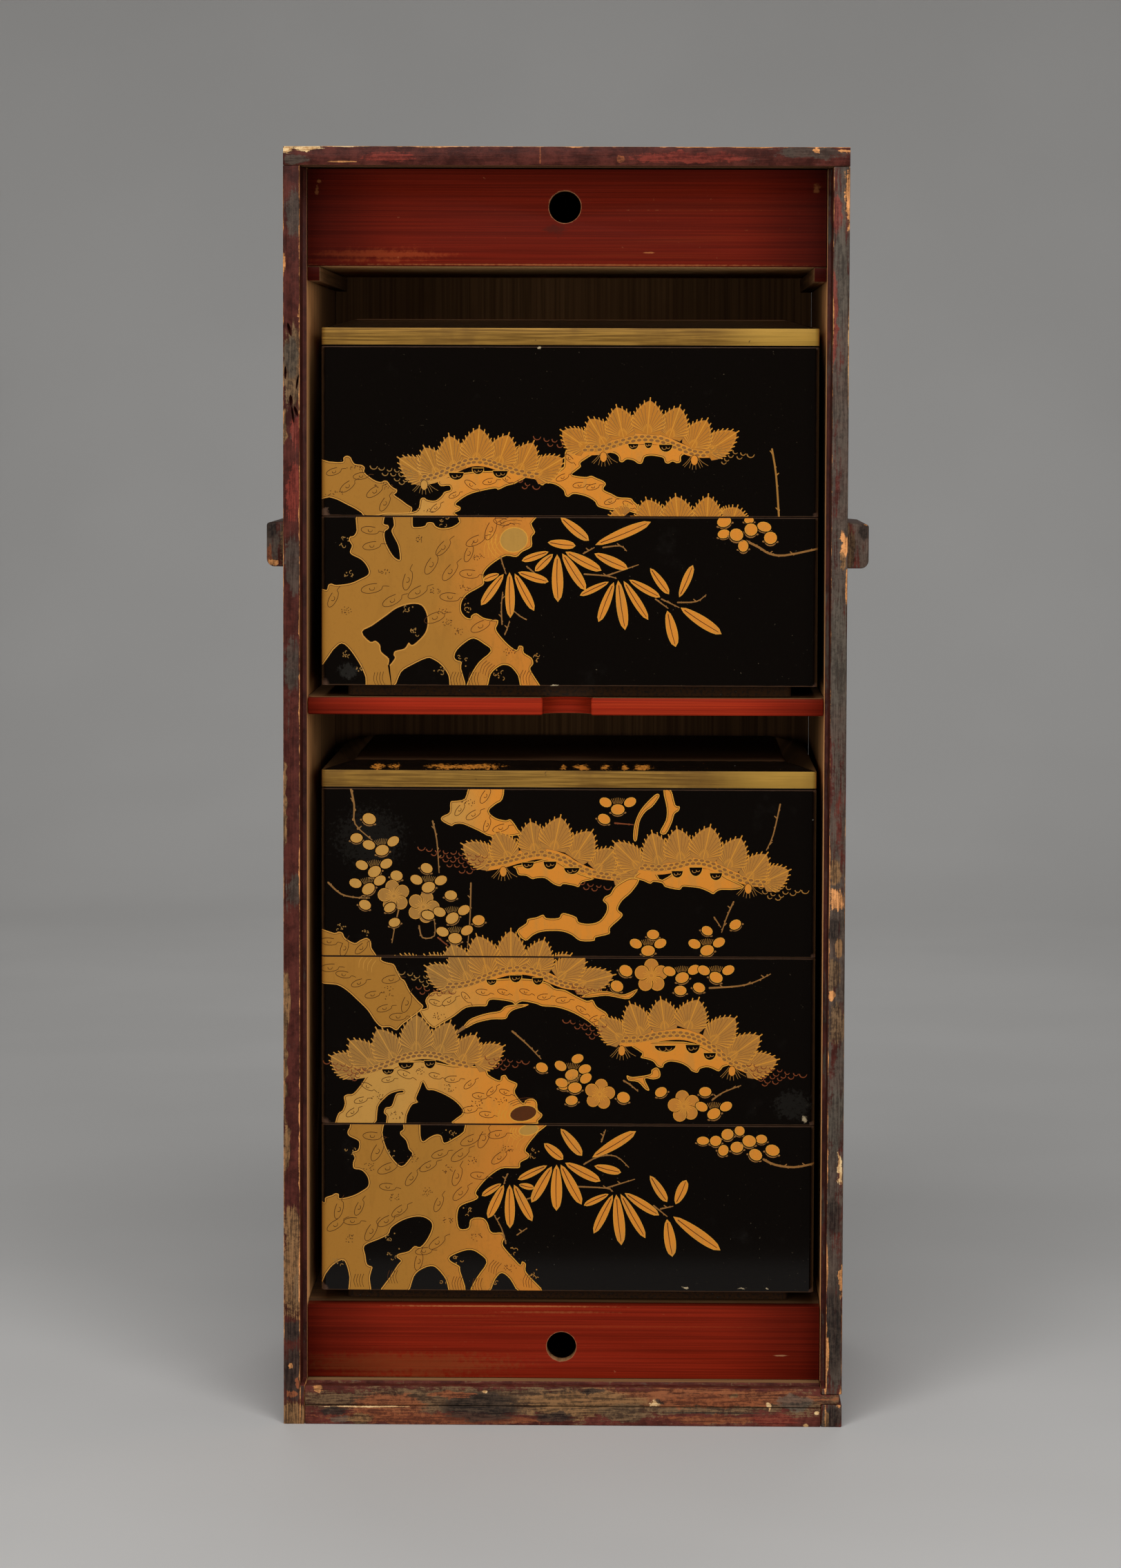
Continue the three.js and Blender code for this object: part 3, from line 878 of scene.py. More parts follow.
    def cups(self, start, end, rows, name, size=17.0):
        """Rows of cups from start to end, with a hook at the far end and lower rows that stop short of it."""
        start, end = Vector(start), Vector(end)
        way = end - start
        count = max(2, int(way.length / (size * 2.5)))
        drop = Vector((0.0, size * 1.45))
        for row in range(rows):
            for k in range(row // 2, count - row):
                spot = start + way * ((k + 0.5 * (row % 2)) / count) + drop * row
                spot += Vector((self.chance.uniform(-4, 4), self.chance.uniform(-4, 4)))
                here = size * self.chance.uniform(0.8, 1.05)
                self.cup(spot.x, spot.y, here, name, 6.5, self.chance.uniform(-25, 25))
        self.cup(end.x, end.y - size * 0.4, size * 1.3, name, 7.0)

    def moss(self, u, v, size=18.0, name="moss"):
        """A cluster of small curls beside a trunk."""
        for k in range(4):
            spin = self.chance.uniform(0, 360)
            du, dv = (self.chance.uniform(-1.5, 1.5) * size for _ in range(2))
            self.cup(u + du, v + dv, size * self.chance.uniform(0.35, 0.6), name, 5.0, spin)
        for k in range(3):
            du, dv = (self.chance.uniform(-2.0, 2.0) * size for _ in range(2))
            self.fill(oval(u + du, v + dv, 4.5, 4.5, 0, 6), name)

    # Trunks and branches

    def trunk(self, points, name="trunk", seam=6.5):
        """A trunk or branch with a pale rim and a dark seam inside it."""
        line = through(points)
        self.fill(line, "edge")
        self.fill(shrunk(line, seam), "line")
        self.fill(shrunk(line, seam + 3.2), name)

    def hollow(self, points):
        """A dark hole in a trunk."""
        line = through(points)
        self.fill(shrunk(line, -8), "edge")
        self.fill(shrunk(line, -2), "line")
        self.fill(line, "black")

    def end_grain(self, u, v, half_u, half_v, name="cut"):
        """The sawn end of a branch, with faint rings."""
        for inset, tone_name in ((0, "edge"), (6, name)):
            self.fill(oval(u, v, half_u - inset, half_v - inset, -10, 18), tone_name)
        for share in (1.28, 1.55, 1.8):
            ring = oval(u, v, half_u * share, half_v * share, -10, 24)
            self.stroke(ring[9:15], 3.0, "needle", 9.0, steps=1)
            self.stroke(ring[16:21], 3.2, "line", 2.4, steps=1)

    def whorl(self, u, v, size, angle=0.0):
        """A curl of bark: an open drawn-out loop round a small hook."""
        loop = [*arc(1.75 * size, 0.72 * size, -60, -38, 9), (2.7 * size, 0.15 * size)]
        self.stroke(placed(loop, u, v, angle), 4.0, "line", 3.4, steps=2)
        hook = arc(0.42 * size, 0.30 * size, 200, -55, 5)
        self.stroke(placed(hook, u, v, angle), 4.4, "line", 2.8, steps=2)

    def whorls(self, places, size=38.0, angle=-35.0):
        """Curls of bark, each a little different."""
        for u, v in places:
            self.whorl(u, v, size * self.chance.uniform(0.75, 1.0), angle + self.chance.uniform(-45, 45))

    def dots(self, u, v, half_u, half_v, count=16):
        """Dots strewn over an oval."""
        for _ in range(count):
            a, r = self.chance.uniform(0, math.tau), math.sqrt(self.chance.random())
            du, dv = half_u * r * math.cos(a), half_v * r * math.sin(a)
            self.fill(oval(u + du, v + dv, 3.6, 3.2, 0, 5), "line")

    def ridges(self, u, v, half_u, half_v, count, angle=0.0, name="line", width=3.4):
        """Curved strokes side by side."""
        for k in range(count):
            du = half_u * (2 * k / (count - 1) - 1)
            path = [(du, -half_v), (du - half_v * 0.28, 0.0), (du, half_v)]
            self.stroke(placed(path, u, v, angle), width, name, width * 0.7)

    # Bamboo and plum

    def leaf(self, base, tip, half):
        """A bamboo leaf with a pale rim and a dark rib."""
        base, tip = Vector(base), Vector(tip)
        self.fill(blade(base, tip, half, leaf_shape, 10), "edge")
        axis = tip - base
        trim = axis.normalized() * 4.5
        self.fill(blade(base + trim, tip - trim, half - 3.6, leaf_shape, 10), "gold")
        bow = Vector((-axis.y, axis.x)).normalized() * half * 0.10
        self.stroke([base + axis * 0.10, base + axis * 0.5 + bow, base + axis * 0.92], 5.5, "line", 3.6)

    def twig(self, points, width=12.0, name="twig", end=5.0, side_buds=0):
        """A twig with knots along it and short side shoots."""
        self.stroke(points, width, name, end)
        line = through(points, False, 4)
        for k in range(side_buds):
            at = line[min(int(len(line) * (k + 0.7) / (side_buds + 0.4)), len(line) - 1)]
            way = 1 if k % 2 else -1
            self.stroke([at, at + Vector((way * 16, -14))], 9.0, name, 5.0, steps=1)
        for at in line[1:-1:2]:
            way = self.chance.choice((-1, 1))
            self.fill(oval(at.x + way * width * 0.35, at.y, width * 0.5, width * 0.62, 0, 7), name)

    def petal(self, u, v, half_u, half_v, angle=0.0):
        self.fill(oval(u, v, half_u + 4, half_v + 4, angle, 14), "black")
        self.fill(oval(u, v, half_u, half_v, angle, 14), "edge")
        self.fill(oval(u, v, half_u - 3.5, half_v - 3.5, angle, 14), "gold")

    def bud(self, u, v, half_u=38.0, half_v=31.0, angle=0.0):
        """A closed flower with its calyx below."""
        angle += self.chance.uniform(-30, 30)
        below = turned((0.0, half_v * 0.66), angle)
        self.fill(oval(u + below.x, v + below.y, half_u * 0.90, half_v * 0.72, angle, 12), "twig")
        for way in (-1, 1):
            ear = turned((way * half_u * 1.02, half_v * 0.62), angle)
            self.fill(oval(u + ear.x, v + ear.y, 10, 6, 0, 7), "twig")
        self.fill(oval(u, v, half_u + 6, half_v + 6, angle, 14), "black")
        self.petal(u, v, half_u, half_v, angle)

    def trio(self, u, v, size, angle):
        """A flower from the side: a bud between two petals, with stamens above it."""

        def at(du, dv):
            return Vector((u, v)) + turned((du * size, dv * size), angle)

        for k in range(8):
            lean = (k - 3.5) / 3.5
            self.stroke([at(lean * 16, -22), at(lean * 38, -70 + 8 * abs(lean))], 3.0, "moss", 2.6, steps=1)
        for way in (-1, 1):
            spot = at(way * 72, -42)
            self.petal(spot.x, spot.y, 37 * size, 27 * size, angle - way * 24)
        self.bud(u, v, 40 * size, 31 * size, angle)

    def blossom(self, u, v, size, angle):
        """An open five-petalled flower, its first petal at angle."""
        for k in range(5):
            a = math.radians(angle + 72 * k)
            du, dv = size * 0.56 * math.cos(a), size * 0.56 * math.sin(a)
            self.fill(oval(u + du, v + dv, size * 0.43, size * 0.43, 0, 16), "black")
            self.fill(oval(u + du, v + dv, size * 0.40, size * 0.40, 0, 16), "needle")
            self.fill(oval(u + du, v + dv, size * 0.36, size * 0.36, 0, 16), "petal")
        self.fill(oval(u, v, size * 0.30, size * 0.30, 0, 14), "petal")
        for k in range(20):
            a = math.radians(18 * k)
            reaches = (size * 0.10, size * (0.50 if k % 2 else 0.40))
            ray = [(u + reach * math.cos(a), v + reach * math.sin(a)) for reach in reaches]
            self.stroke(ray, 3.0, "needle", 3.6, steps=1)

    def on_tier(self, point, low, high):
        """A grid point as (x, z) on the tier's front."""
        top_left, top_right, foot_left, foot_right = self.corners
        across = (point.x - top_left.x) / (top_right.x - top_left.x)
        top = top_left.y + (top_right.y - top_left.y) * across
        foot = foot_left.y + (foot_right.y - foot_left.y) * across
        down = (point.y - top) / (foot - top)
        left = top_left.x + (foot_left.x - top_left.x) * down
        right = top_right.x + (foot_right.x - top_right.x) * down
        across = (point.x - left) / (right - left)
        return Vector((low.x + (high.x - low.x) * across, high.z - (high.z - low.z) * down))


# Pictures of pine, bamboo and plum, one for each tier

# Where the right half of a picture counts from
MIDDLE = 1459


def rows(text):
    """The numbers in each word of "1,2,3 4,5,6 ..."."""
    return [[float(number) for number in word.split(",")] for word in text.split()]


def spots(text, shift=0):
    """Points from "u,v u,v ..."."""
    return [(u + shift, v) for u, v in rows(text)]


def fan(text, shift=0, half=92):
    """Pine tufts from "base tip base tip ...", narrower towards both ends of the fan."""
    points = spots(text, shift)
    pairs = list(zip(points[0::2], points[1::2]))
    last = len(pairs) - 1
    return [(base, tip, half - 18 * abs(2 * i / last - 1)) for i, (base, tip) in enumerate(pairs)]


def blades(sketch, text, shift=0):
    """Bamboo leaves from "base tip,width base tip,width ...", each tip followed by half its width."""
    words = rows(text)
    for (u, v), (tip_u, tip_v, half) in zip(words[0::2], words[1::2]):
        sketch.leaf((u + shift, v), (tip_u + shift, tip_v), half)


def buds(sketch, text, shift=0):
    """Plum buds from "u,v,half_u,half_v ..."."""
    for u, v, half_u, half_v in rows(text):
        sketch.bud(u + shift, v, half_u, half_v)


def trios(sketch, text, shift=0):
    """Flowers seen from the side, from "u,v,lean ..."."""
    for u, v, lean in rows(text):
        sketch.trio(u + shift, v, 1.0, lean)


def windows(sketch, text, shift=0):
    """Openings under a band of scales, from "u,v,half_u,half_v ..."."""
    for u, v, half_u, half_v in rows(text):
        sketch.window(u + shift, v, half_u, half_v)


def upper_tier_2(needles):
    sketch = Sketch(spots("20,12 2951,12 14,1003 2949,1004"), 21, needles)
    sketch.trunk(spots(
        "0,690 60,686 110,690 145,686 146,664 165,652 188,660 198,680 215,700 255,706 272,722 268,745 "
        "290,768 330,795 365,805 385,797 405,800 420,820 440,838 462,850 458,868 445,880 480,905 520,935 "
        "552,962 500,1012 290,1012 250,985 210,960 160,935 110,910 60,895 0,890"
    ))
    sketch.whorls(spots("90,745 170,830 250,770 330,860 390,930"), 34)
    sketch.dots(210, 720, 60, 16)
    sketch.dots(380, 830, 60, 20)
    sketch.dots(90, 870, 60, 16)
    sketch.trunk(spots(
        "400,985 480,985 560,978 590,955 600,905 622,896 645,910 690,912 725,885 742,862 778,850 770,825 "
        "722,828 705,800 760,770 900,745 1100,740 1220,770 1180,800 1150,815 1110,825 1060,848 1040,840 "
        "940,860 880,880 830,912 808,935 835,950 832,970 800,985 790,1012 290,1012 350,995"
    ), "gold")
    sketch.whorls(spots("690,955 800,880 900,820 1010,800 1110,785"), 26, -10)
    sketch.dots(620, 975, 70, 18)
    sketch.trunk(spots(
        "1250,775 1300,762 1380,755 1440,720 1450,690 1452,640 1462,618 1490,614 1530,612 1560,622 1625,632 "
        "1580,665 1545,690 1548,712 1520,735 1495,758 1530,768 1580,772 1610,765 1640,778 1680,795 1695,815 "
        "1680,845 1730,870 1770,890 1840,895 1860,915 1885,940 1885,985 1840,975 1780,962 1730,965 1660,950 "
        "1640,935 1630,915 1590,890 1540,875 1500,872 1475,888 1455,880 1445,850 1400,818 1345,808 1322,822 "
        "1300,810 1285,790"
    ), "gold")
    sketch.whorls(spots("1480,665 1440,775 1540,820 1620,830 1720,915 1830,935"), 26, 10)
    sketch.trunk(spots(
        "250,625 300,600 400,575 560,575 650,600 700,630 680,650 678,680 655,690 630,680 605,692 585,685 "
        "575,660 540,650 500,646 465,655 450,690 425,692 400,675 360,668 335,685 315,678 312,655 "
        "290,635", MIDDLE
    ), "gold")
    sketch.pine(
        fan("640,780 478,668 700,765 625,605 800,735 770,535 930,690 948,490 1060,700 1120,530 1180,745 "
            "1265,575 1270,765 1440,665"),
        spots("600,785 700,765 800,715 900,680 990,685 1080,715 1180,745 1290,765"), "amber",
    )
    windows(sketch, "812,768,44,18 940,738,34,15 1072,756,44,18")
    sketch.cone(622, 822)
    sketch.cups((560, 740), (325, 715), 4, "moss")
    sketch.cups((1190, 790), (1285, 830), 2, "maroon")
    sketch.cups((1450, 560), (1290, 540), 3, "maroon")
    sketch.pine(
        fan("120,600 -19,505 230,580 140,435 340,540 300,365 480,520 497,325 610,540 670,365 740,600 "
            "830,440 830,625 1005,510", MIDDLE),
        spots("100,605 220,600 340,565 450,545 560,555 660,595 760,630 850,635", MIDDLE), "amber",
    )
    windows(sketch, "398,592,30,14 487,585,22,14 589,600,40,18", MIDDLE)
    sketch.cone(MIDDLE + 222, 655)
    sketch.cone(MIDDLE + 758, 672)
    sketch.cups((MIDDLE + 860, 590), (MIDDLE + 1090, 640), 4, "moss")
    sketch.pine(
        fan("330,1010 290,960 510,1040 475,905 665,1060 648,885 830,1060 840,885 985,1020 1010,950", MIDDLE),
        spots("380,1040 1000,1040", MIDDLE), "amber",
    )
    sketch.twig(spots("1215,605 1240,760 1258,1010", MIDDLE), 10, "moss", 11, 3)
    return sketch


def upper_tier_1(needles):
    sketch = Sketch(spots("33,8 2954,17 30,997 2954,1003"), 22, needles)
    sketch.trunk(spots(
        "15,470 62,440 72,410 92,402 120,410 200,400 260,375 310,345 300,300 265,260 215,235 200,215 "
        "212,180 195,150 200,128 222,122 240,90 247,-8 395,-8 398,50 425,60 428,80 405,100 408,150 430,200 "
        "460,245 488,262 495,250 485,180 455,120 445,90 460,60 462,-8 560,-8 570,60 585,72 640,65 655,45 "
        "690,45 705,65 740,78 800,70 845,40 868,-8 1280,-8 1268,50 1290,100 1270,130 1270,185 1215,215 "
        "1180,245 1120,238 1060,270 1010,310 985,350 990,400 960,425 890,465 858,510 855,560 880,595 "
        "910,605 915,588 945,575 985,600 1040,612 1072,615 1070,640 1060,665 1080,700 1130,755 1180,790 "
        "1195,765 1220,770 1225,805 1270,835 1280,870 1262,900 1290,950 1320,1012 1215,1012 1190,940 "
        "1150,890 1115,877 1080,885 1030,930 1000,1012 892,1012 910,940 960,860 1030,795 990,755 930,722 "
        "880,745 830,790 815,830 830,850 858,860 855,900 880,1012 795,1012 780,940 740,880 690,845 650,838 "
        "560,880 500,920 448,1012 305,1012 290,950 260,880 200,790 150,752 100,790 15,870"
    ))
    sketch.hollow(spots(
        "415,590 480,545 560,522 620,530 650,580 655,640 640,690 600,735 565,760 545,745 520,780 465,795 "
        "455,820 462,838 428,880 430,840 385,800 378,760 350,735 318,740 272,685 330,650"
    ))
    sketch.stroke(spots("428,880 443,995"), 12, "black", 4)
    sketch.end_grain(1165, 145, 85, 75)
    sketch.ridges(1040, 195, 34, 56, 4, 12, "needle")
    sketch.whorls(spots(
        "1030,85 1095,40 900,225 750,190 680,290 790,330 905,345 790,480 540,380 450,500 100,490 970,650 "
        "330,430 600,450 940,150 320,90 330,180 700,600"
    ))
    for u, v in spots("700,440 960,250 740,560 840,680 780,630 1140,800 400,330 180,560 620,140 880,420"):
        sketch.dots(u, v, 34, 24)
    for u, v, angle in rows("1240,950,8 935,960,0 830,960,4 375,960,-6 1010,900,30"):
        sketch.ridges(u, v, 26, 40, 4, angle)
    for u, v in spots("165,160 200,360 760,40 540,560 585,690 905,545 190,810 250,900 730,900 865,850 "
                      "1080,930 1300,840"):
        sketch.moss(u, v)
    sketch.twig(spots("1086,240 1104,300 1120,345"), 8)
    sketch.twig(spots("1240,300 1300,350 1350,400"), 8, side_buds=2)
    sketch.twig(spots("1096,640 1092,540 1100,450"), 8, side_buds=2)
    sketch.twig(spots("1240,612 1200,590 1165,560"), 7, side_buds=1)
    sketch.twig(spots("1112,700 1128,660 1140,620"), 7, side_buds=1)
    blades(sketch, "1078,345 985,380,22 1105,345 972,528,30 1140,335 1145,602,32 1170,342 1285,560,30 "
                   "1190,335 1370,390,28 1370,215 1212,268,24 1395,228 1290,328,26 1420,230 1425,508,38 "
                   "1365,160 1529,180,30 1440,15 1607,150,33")
    for path in ("120,345 250,355 310,370", "250,355 440,290", "540,490 615,545", "575,490 680,540",
                 "670,510 780,505 838,465", "115,225 180,190", "230,190 330,180 370,210"):
        sketch.twig(spots(path, MIDDLE), 9, side_buds=1)
    blades(sketch, "-9,225 130,440,34 10,215 222,325,33 185,175 512,40,34 180,225 378,315,33 265,390 "
                   "95,470,22 295,392 205,625,30 320,382 362,672,36 352,385 498,612,28 385,378 568,480,26 "
                   "508,310 620,462,28 680,480 760,292,28 610,558 660,770,36 688,540 930,695,36", MIDDLE)
    sketch.twig(spots("1070,150 1150,190 1210,225 1300,235 1500,195", MIDDLE), 13, end=11, side_buds=3)
    buds(sketch, "942,38,42,32 1088,30,28,20 1178,68,42,28 940,110,36,26 1055,180,30,34 1100,85,38,36 "
                 "1215,133,38,36 1015,115,40,36", MIDDLE)
    return sketch


def lower_tier_3(needles):
    sketch = Sketch(spots("38,18 2941,50 35,1003 2941,1034"), 23, needles)
    sketch.trunk(spots(
        "15,855 110,870 135,862 160,870 175,900 230,930 260,915 300,900 325,920 330,960 355,1020 200,1020 "
        "15,1020"
    ))
    sketch.whorls(spots("80,920 170,960 270,960"), 30)
    sketch.moss(150, 840, 14)
    sketch.moss(300, 870, 12)
    sketch.trunk(spots(
        "920,10 1095,10 1100,90 1060,120 1020,160 1060,200 1120,215 1150,210 1190,265 1200,300 1040,310 "
        "960,275 870,235 820,235 800,245 745,215 745,190 790,165 795,105 825,98 880,85"
    ), "gold")
    sketch.whorls(spots("850,150 930,180 1010,240 1090,260 1000,70"), 30)
    sketch.dots(900, 110, 40, 20)
    sketch.twig(spots("210,20 230,120 235,230 335,325"), 13, side_buds=2)
    sketch.twig(spots("75,572 150,640 240,662 320,665"), 11, side_buds=2)
    sketch.twig(spots("690,215 715,330 728,520"), 10, side_buds=2)
    sketch.twig(spots("495,715 470,820 450,930"), 9, side_buds=1)
    sketch.twig(spots("915,580 910,780 895,960"), 9, side_buds=2)
    sketch.twig(spots("610,830 630,900 700,890 700,800"), 9)
    sketch.twig(spots("720,900 780,950"), 9, "maroon")
    sketch.trunk(spots(
        "1165,485 1250,470 1380,440 1459,480 1559,530 1639,560 1569,580 1549,608 1519,600 1459,590 1440,603 "
        "1400,590 1350,555 1300,555 1275,560 1240,540 1195,535 1180,500"
    ), "gold", seam=6)
    sketch.pine(
        fan("1040,460 870,355 1140,440 1060,290 1290,400 1265,225 1400,390 1440,200 1519,440 1624,285 "
            "1649,510 1759,390 1749,545 1909,500"),
        spots("1000,470 1100,455 1200,430 1330,410 1459,445 1519,480 1639,530 1800,555"),
    )
    windows(sketch, "1250,478,35,16 1380,478,38,20 1508,512,45,16")
    sketch.cone(1105, 515)
    sketch.trunk(spots(
        "1185,865 1240,820 1250,795 1300,785 1340,770 1360,790 1430,790 1445,768 1469,762 1534,785 1549,815 "
        "1609,825 1669,810 1709,760 1714,715 1691,690 1704,665 1734,650 1759,610 1809,575 1859,555 1904,570 "
        "1859,640 1804,690 1779,740 1804,765 1799,790 1734,850 1729,885 1649,905 1639,925 1559,925 1509,890 "
        "1459,870 1400,865 1330,870 1280,890 1235,922"
    ), "gold")
    sketch.trunk(spots(
        "415,555 460,520 540,530 580,570 700,500 850,500 960,560 1060,610 1010,630 930,630 900,640 880,655 "
        "850,640 800,620 740,612 700,610 680,628 600,612 580,590 530,580 510,592 470,575", MIDDLE
    ), "gold", seam=6)
    sketch.trunk(spots("410,330 415,250 440,180 475,130 530,75 555,65 560,85 520,140 480,170 445,230 "
                       "430,335", MIDDLE),
                 "gold", seam=6)
    sketch.trunk(spots("585,45 630,45 655,130 680,140 675,165 650,185 635,235 600,300 565,290 600,220 "
                       "605,150", MIDDLE),
                 "gold", seam=6)
    sketch.pine(
        fan("450,500 300,350 560,480 520,295 690,460 665,272 820,450 860,262 960,500 1040,330 1080,570 "
            "1190,425 1170,590 1320,520", MIDDLE),
        spots("450,490 560,500 650,490 760,465 860,480 960,530 1080,580 1180,595", MIDDLE),
    )
    windows(sketch, "668,535,33,17 777,520,38,22 895,550,36,18", MIDDLE)
    sketch.cone(MIDDLE + 1085, 625)
    sketch.cups((1000, 420), (625, 372), 5, "maroon")
    sketch.cups((MIDDLE + 110, 575), (MIDDLE + 260, 610), 3, "maroon")
    sketch.cups((MIDDLE + 1140, 580), (MIDDLE + 1420, 640), 5, "moss")
    sketch.twig(spots("300,235 410,245", MIDDLE), 10, "maroon")
    sketch.twig(spots("1270,130 1230,310 1190,400", MIDDLE), 9, side_buds=2)
    sketch.twig(spots("1000,700 960,790 930,880", MIDDLE), 9, side_buds=2)
    sketch.twig(spots("885,790 925,850", MIDDLE), 8)
    sketch.pine(
        fan("610,1120 480,1015 730,1110 648,1010 850,1110 800,945 1010,1090 950,895 1150,1090 1150,865 "
            "1290,1090 1345,920 1420,1110 1500,1010"), spots("600,1120 1500,1120"),
    )
    buds(sketch, "318,200,40,32 243,312,36,28 478,535,36,30 292,705,36,28 465,810,34,26 655,492,36,28 "
                 "797,652,36,28 960,800,36,30")
    sketch.blossom(462, 655, 100, -100)
    sketch.bud(438, 722, 36, 26)
    sketch.blossom(635, 720, 100, -70)
    sketch.bud(662, 768, 38, 26)
    trios(sketch, "393,385,-8 348,510,-3 312,612,-6 665,604,2 805,787,-4 822,905,-3")
    buds(sketch, "238,210,38,28 527,890,36,28 845,870,34,26 1010,835,36,28", MIDDLE)
    trios(sketch, "318,155,0 498,985,0 845,985,-3", MIDDLE)
    return sketch


def lower_tier_2(needles):
    sketch = Sketch(spots("30,22 2932,57 28,1003 2924,1040"), 24, needles)
    sketch.trunk(spots(
        "10,5 350,5 380,45 410,60 455,72 475,110 500,155 520,170 550,230 600,290 628,320 600,355 560,385 "
        "500,430 470,460 430,440 380,440 340,400 300,340 240,280 180,225 120,190 10,165"
    ))
    sketch.whorls(spots("80,90 160,130 250,180 330,250 400,330 440,160 480,380 530,300"), 34)
    sketch.ridges(300, 70, 40, 36, 4, 20, "needle")
    sketch.dots(420, 240, 40, 40)
    sketch.trunk(spots(
        "605,350 650,330 640,290 655,260 690,235 740,240 800,235 840,205 1000,170 1200,160 1350,185 "
        "1400,220 1459,230 1519,262 1589,295 1624,290 1649,330 1714,380 1654,450 1589,410 1519,370 "
        "1459,345 1400,330 1330,325 1290,310 1210,295 1170,315 1150,300 1090,288 1020,285 1000,320 960,322 "
        "880,330 810,380 740,420 680,445"
    ), "gold")
    sketch.whorls(spots("700,300 780,290 880,270 980,240 1100,240 1230,240 1340,270 1450,290 1560,350 "
                        "1640,400"), 26, 5)
    sketch.dots(720, 380, 40, 24)
    sketch.trunk(spots(
        "865,440 900,400 960,375 1020,360 1080,350 1120,320 1240,312 1230,325 1160,345 1130,370 1110,398 "
        "1030,400 940,420 880,450"
    ), "gold", seam=6)
    sketch.stroke(spots("868,445 845,462 825,478"), 22, "twig", 12)
    sketch.pine(
        fan("820,195 648,88 900,185 800,-40 1010,150 950,-90 1150,115 1150,-120 1290,120 1345,-65 1420,160 "
            "1579,40 1519,200 1744,145"),
        spots("760,200 860,195 960,165 1060,125 1180,105 1300,125 1380,165 1469,200 1559,212"),
    )
    windows(sketch, "1030,180,30,14 1172,160,36,18 1302,176,32,18")
    sketch.cups((690, 150), (500, 118), 4, "moss")
    sketch.cups((600, 205), (800, 235), 2, "maroon")
    sketch.cups((MIDDLE + 60, 205), (MIDDLE + 230, 230), 3, "maroon")
    sketch.trunk(spots(
        "310,715 420,690 560,640 700,650 800,670 980,680 1010,725 1075,760 1085,735 1110,728 1130,755 "
        "1180,780 1165,820 1175,850 1215,895 1230,875 1270,868 1295,890 1300,935 1328,965 1300,1000 "
        "1260,1020 815,1020 850,960 860,935 820,885 760,845 690,815 650,810 625,765 610,800 585,860 "
        "595,885 560,900 530,960 515,1020 415,1020 412,965 395,945 405,915 440,905 460,850 475,830 510,825 "
        "500,815 440,830 400,860 360,910 330,1020 125,1020 125,950 150,930 165,890 160,850 180,835 215,830 "
        "260,780"
    ), "gold")
    sketch.whorls(spots(
        "300,790 260,870 210,940 420,750 520,720 700,730 800,750 900,780 960,850 1030,820 1110,830 900,930 "
        "1000,960"
    ), 28, -10)
    for u, v in spots("360,850 620,700 780,800 1080,880 470,960 940,890"):
        sketch.dots(u, v, 40, 24)
    sketch.end_grain(1215, 955, 84, 50, "line")
    sketch.ridges(1090, 940, 26, 50, 3, 10, "needle")
    sketch.pine(
        fan("240,700 85,610 340,670 195,520 460,640 355,455 585,590 590,372 720,600 785,418 850,650 935,492 "
            "930,660 1095,560"),
        spots("225,705 320,690 420,655 520,615 620,600 720,612 800,645 900,670"),
    )
    windows(sketch, "420,702,35,14 526,668,46,18 666,660,34,20")
    sketch.cups((290, 680), (60, 640), 5, "maroon")
    sketch.cups((1010, 620), (1230, 650), 3, "maroon")
    sketch.trunk(spots(
        "400,550 700,540 850,590 960,670 930,690 905,715 870,700 835,690 795,700 780,722 745,712 725,690 "
        "680,665 620,655 585,670 575,690 545,685 520,655 480,640 445,630 455,605", MIDDLE
    ), "gold", seam=6)
    sketch.pine(
        fan("340,525 200,405 450,500 385,315 590,470 565,290 720,465 785,295 860,545 1000,405 960,640 "
            "1145,510 1060,700 1245,650", MIDDLE),
        spots("330,525 450,520 560,500 680,495 780,520 870,575 960,650 1080,710", MIDDLE),
    )
    windows(sketch, "590,578,62,16 752,580,42,22 852,625,36,18", MIDDLE)
    sketch.cone(MIDDLE + 335, 590)
    sketch.cone(MIDDLE + 982, 715)
    sketch.cups((MIDDLE + 230, 440), (MIDDLE + 10, 410), 5, "maroon")
    sketch.cups((MIDDLE + 1080, 670), (MIDDLE + 1400, 740), 5, "maroon")
    sketch.trunk(spots("100,270 160,245 250,240 300,255 355,258 430,228 380,285 300,275 240,265 "
                       "150,275", MIDDLE),
                 "gold", seam=5)
    sketch.twig(spots("850,225 1020,215 1120,190 1210,145", MIDDLE), 11, side_buds=3)
    sketch.twig(spots("1150,470 1240,550 1320,635"), 11, side_buds=2)
    sketch.trunk(spots(
        "365,735 400,745 500,730 510,705 540,690 560,715 558,748 520,760 470,755 497,820 475,820 430,775 "
        "375,765",
        MIDDLE), "gold", seam=6)
    sketch.twig(spots("345,765 390,795 430,830", MIDDLE), 10)
    sketch.twig(spots("865,885 930,840 1035,800", MIDDLE), 10, side_buds=2)
    buds(sketch, "1325,685,36,28 1455,790,36,28")
    sketch.petal(MIDDLE + 75, 635, 36, 26, -20)
    buds(sketch, "360,120,40,32 308,210,38,32 680,238,36,28 790,222,36,28 40,880,36,28 345,865,38,32 "
                 "565,835,36,28 825,835,36,28", MIDDLE)
    sketch.blossom(MIDDLE + 510, 150, 105, -90)
    sketch.blossom(MIDDLE + 205, 845, 95, -80)
    sketch.blossom(MIDDLE + 700, 920, 100, -100)
    trios(sketch, "1500,728,8")
    trios(sketch, "690,163,-3 890,163,0 60,805,-10 875,965,0", MIDDLE)
    return sketch


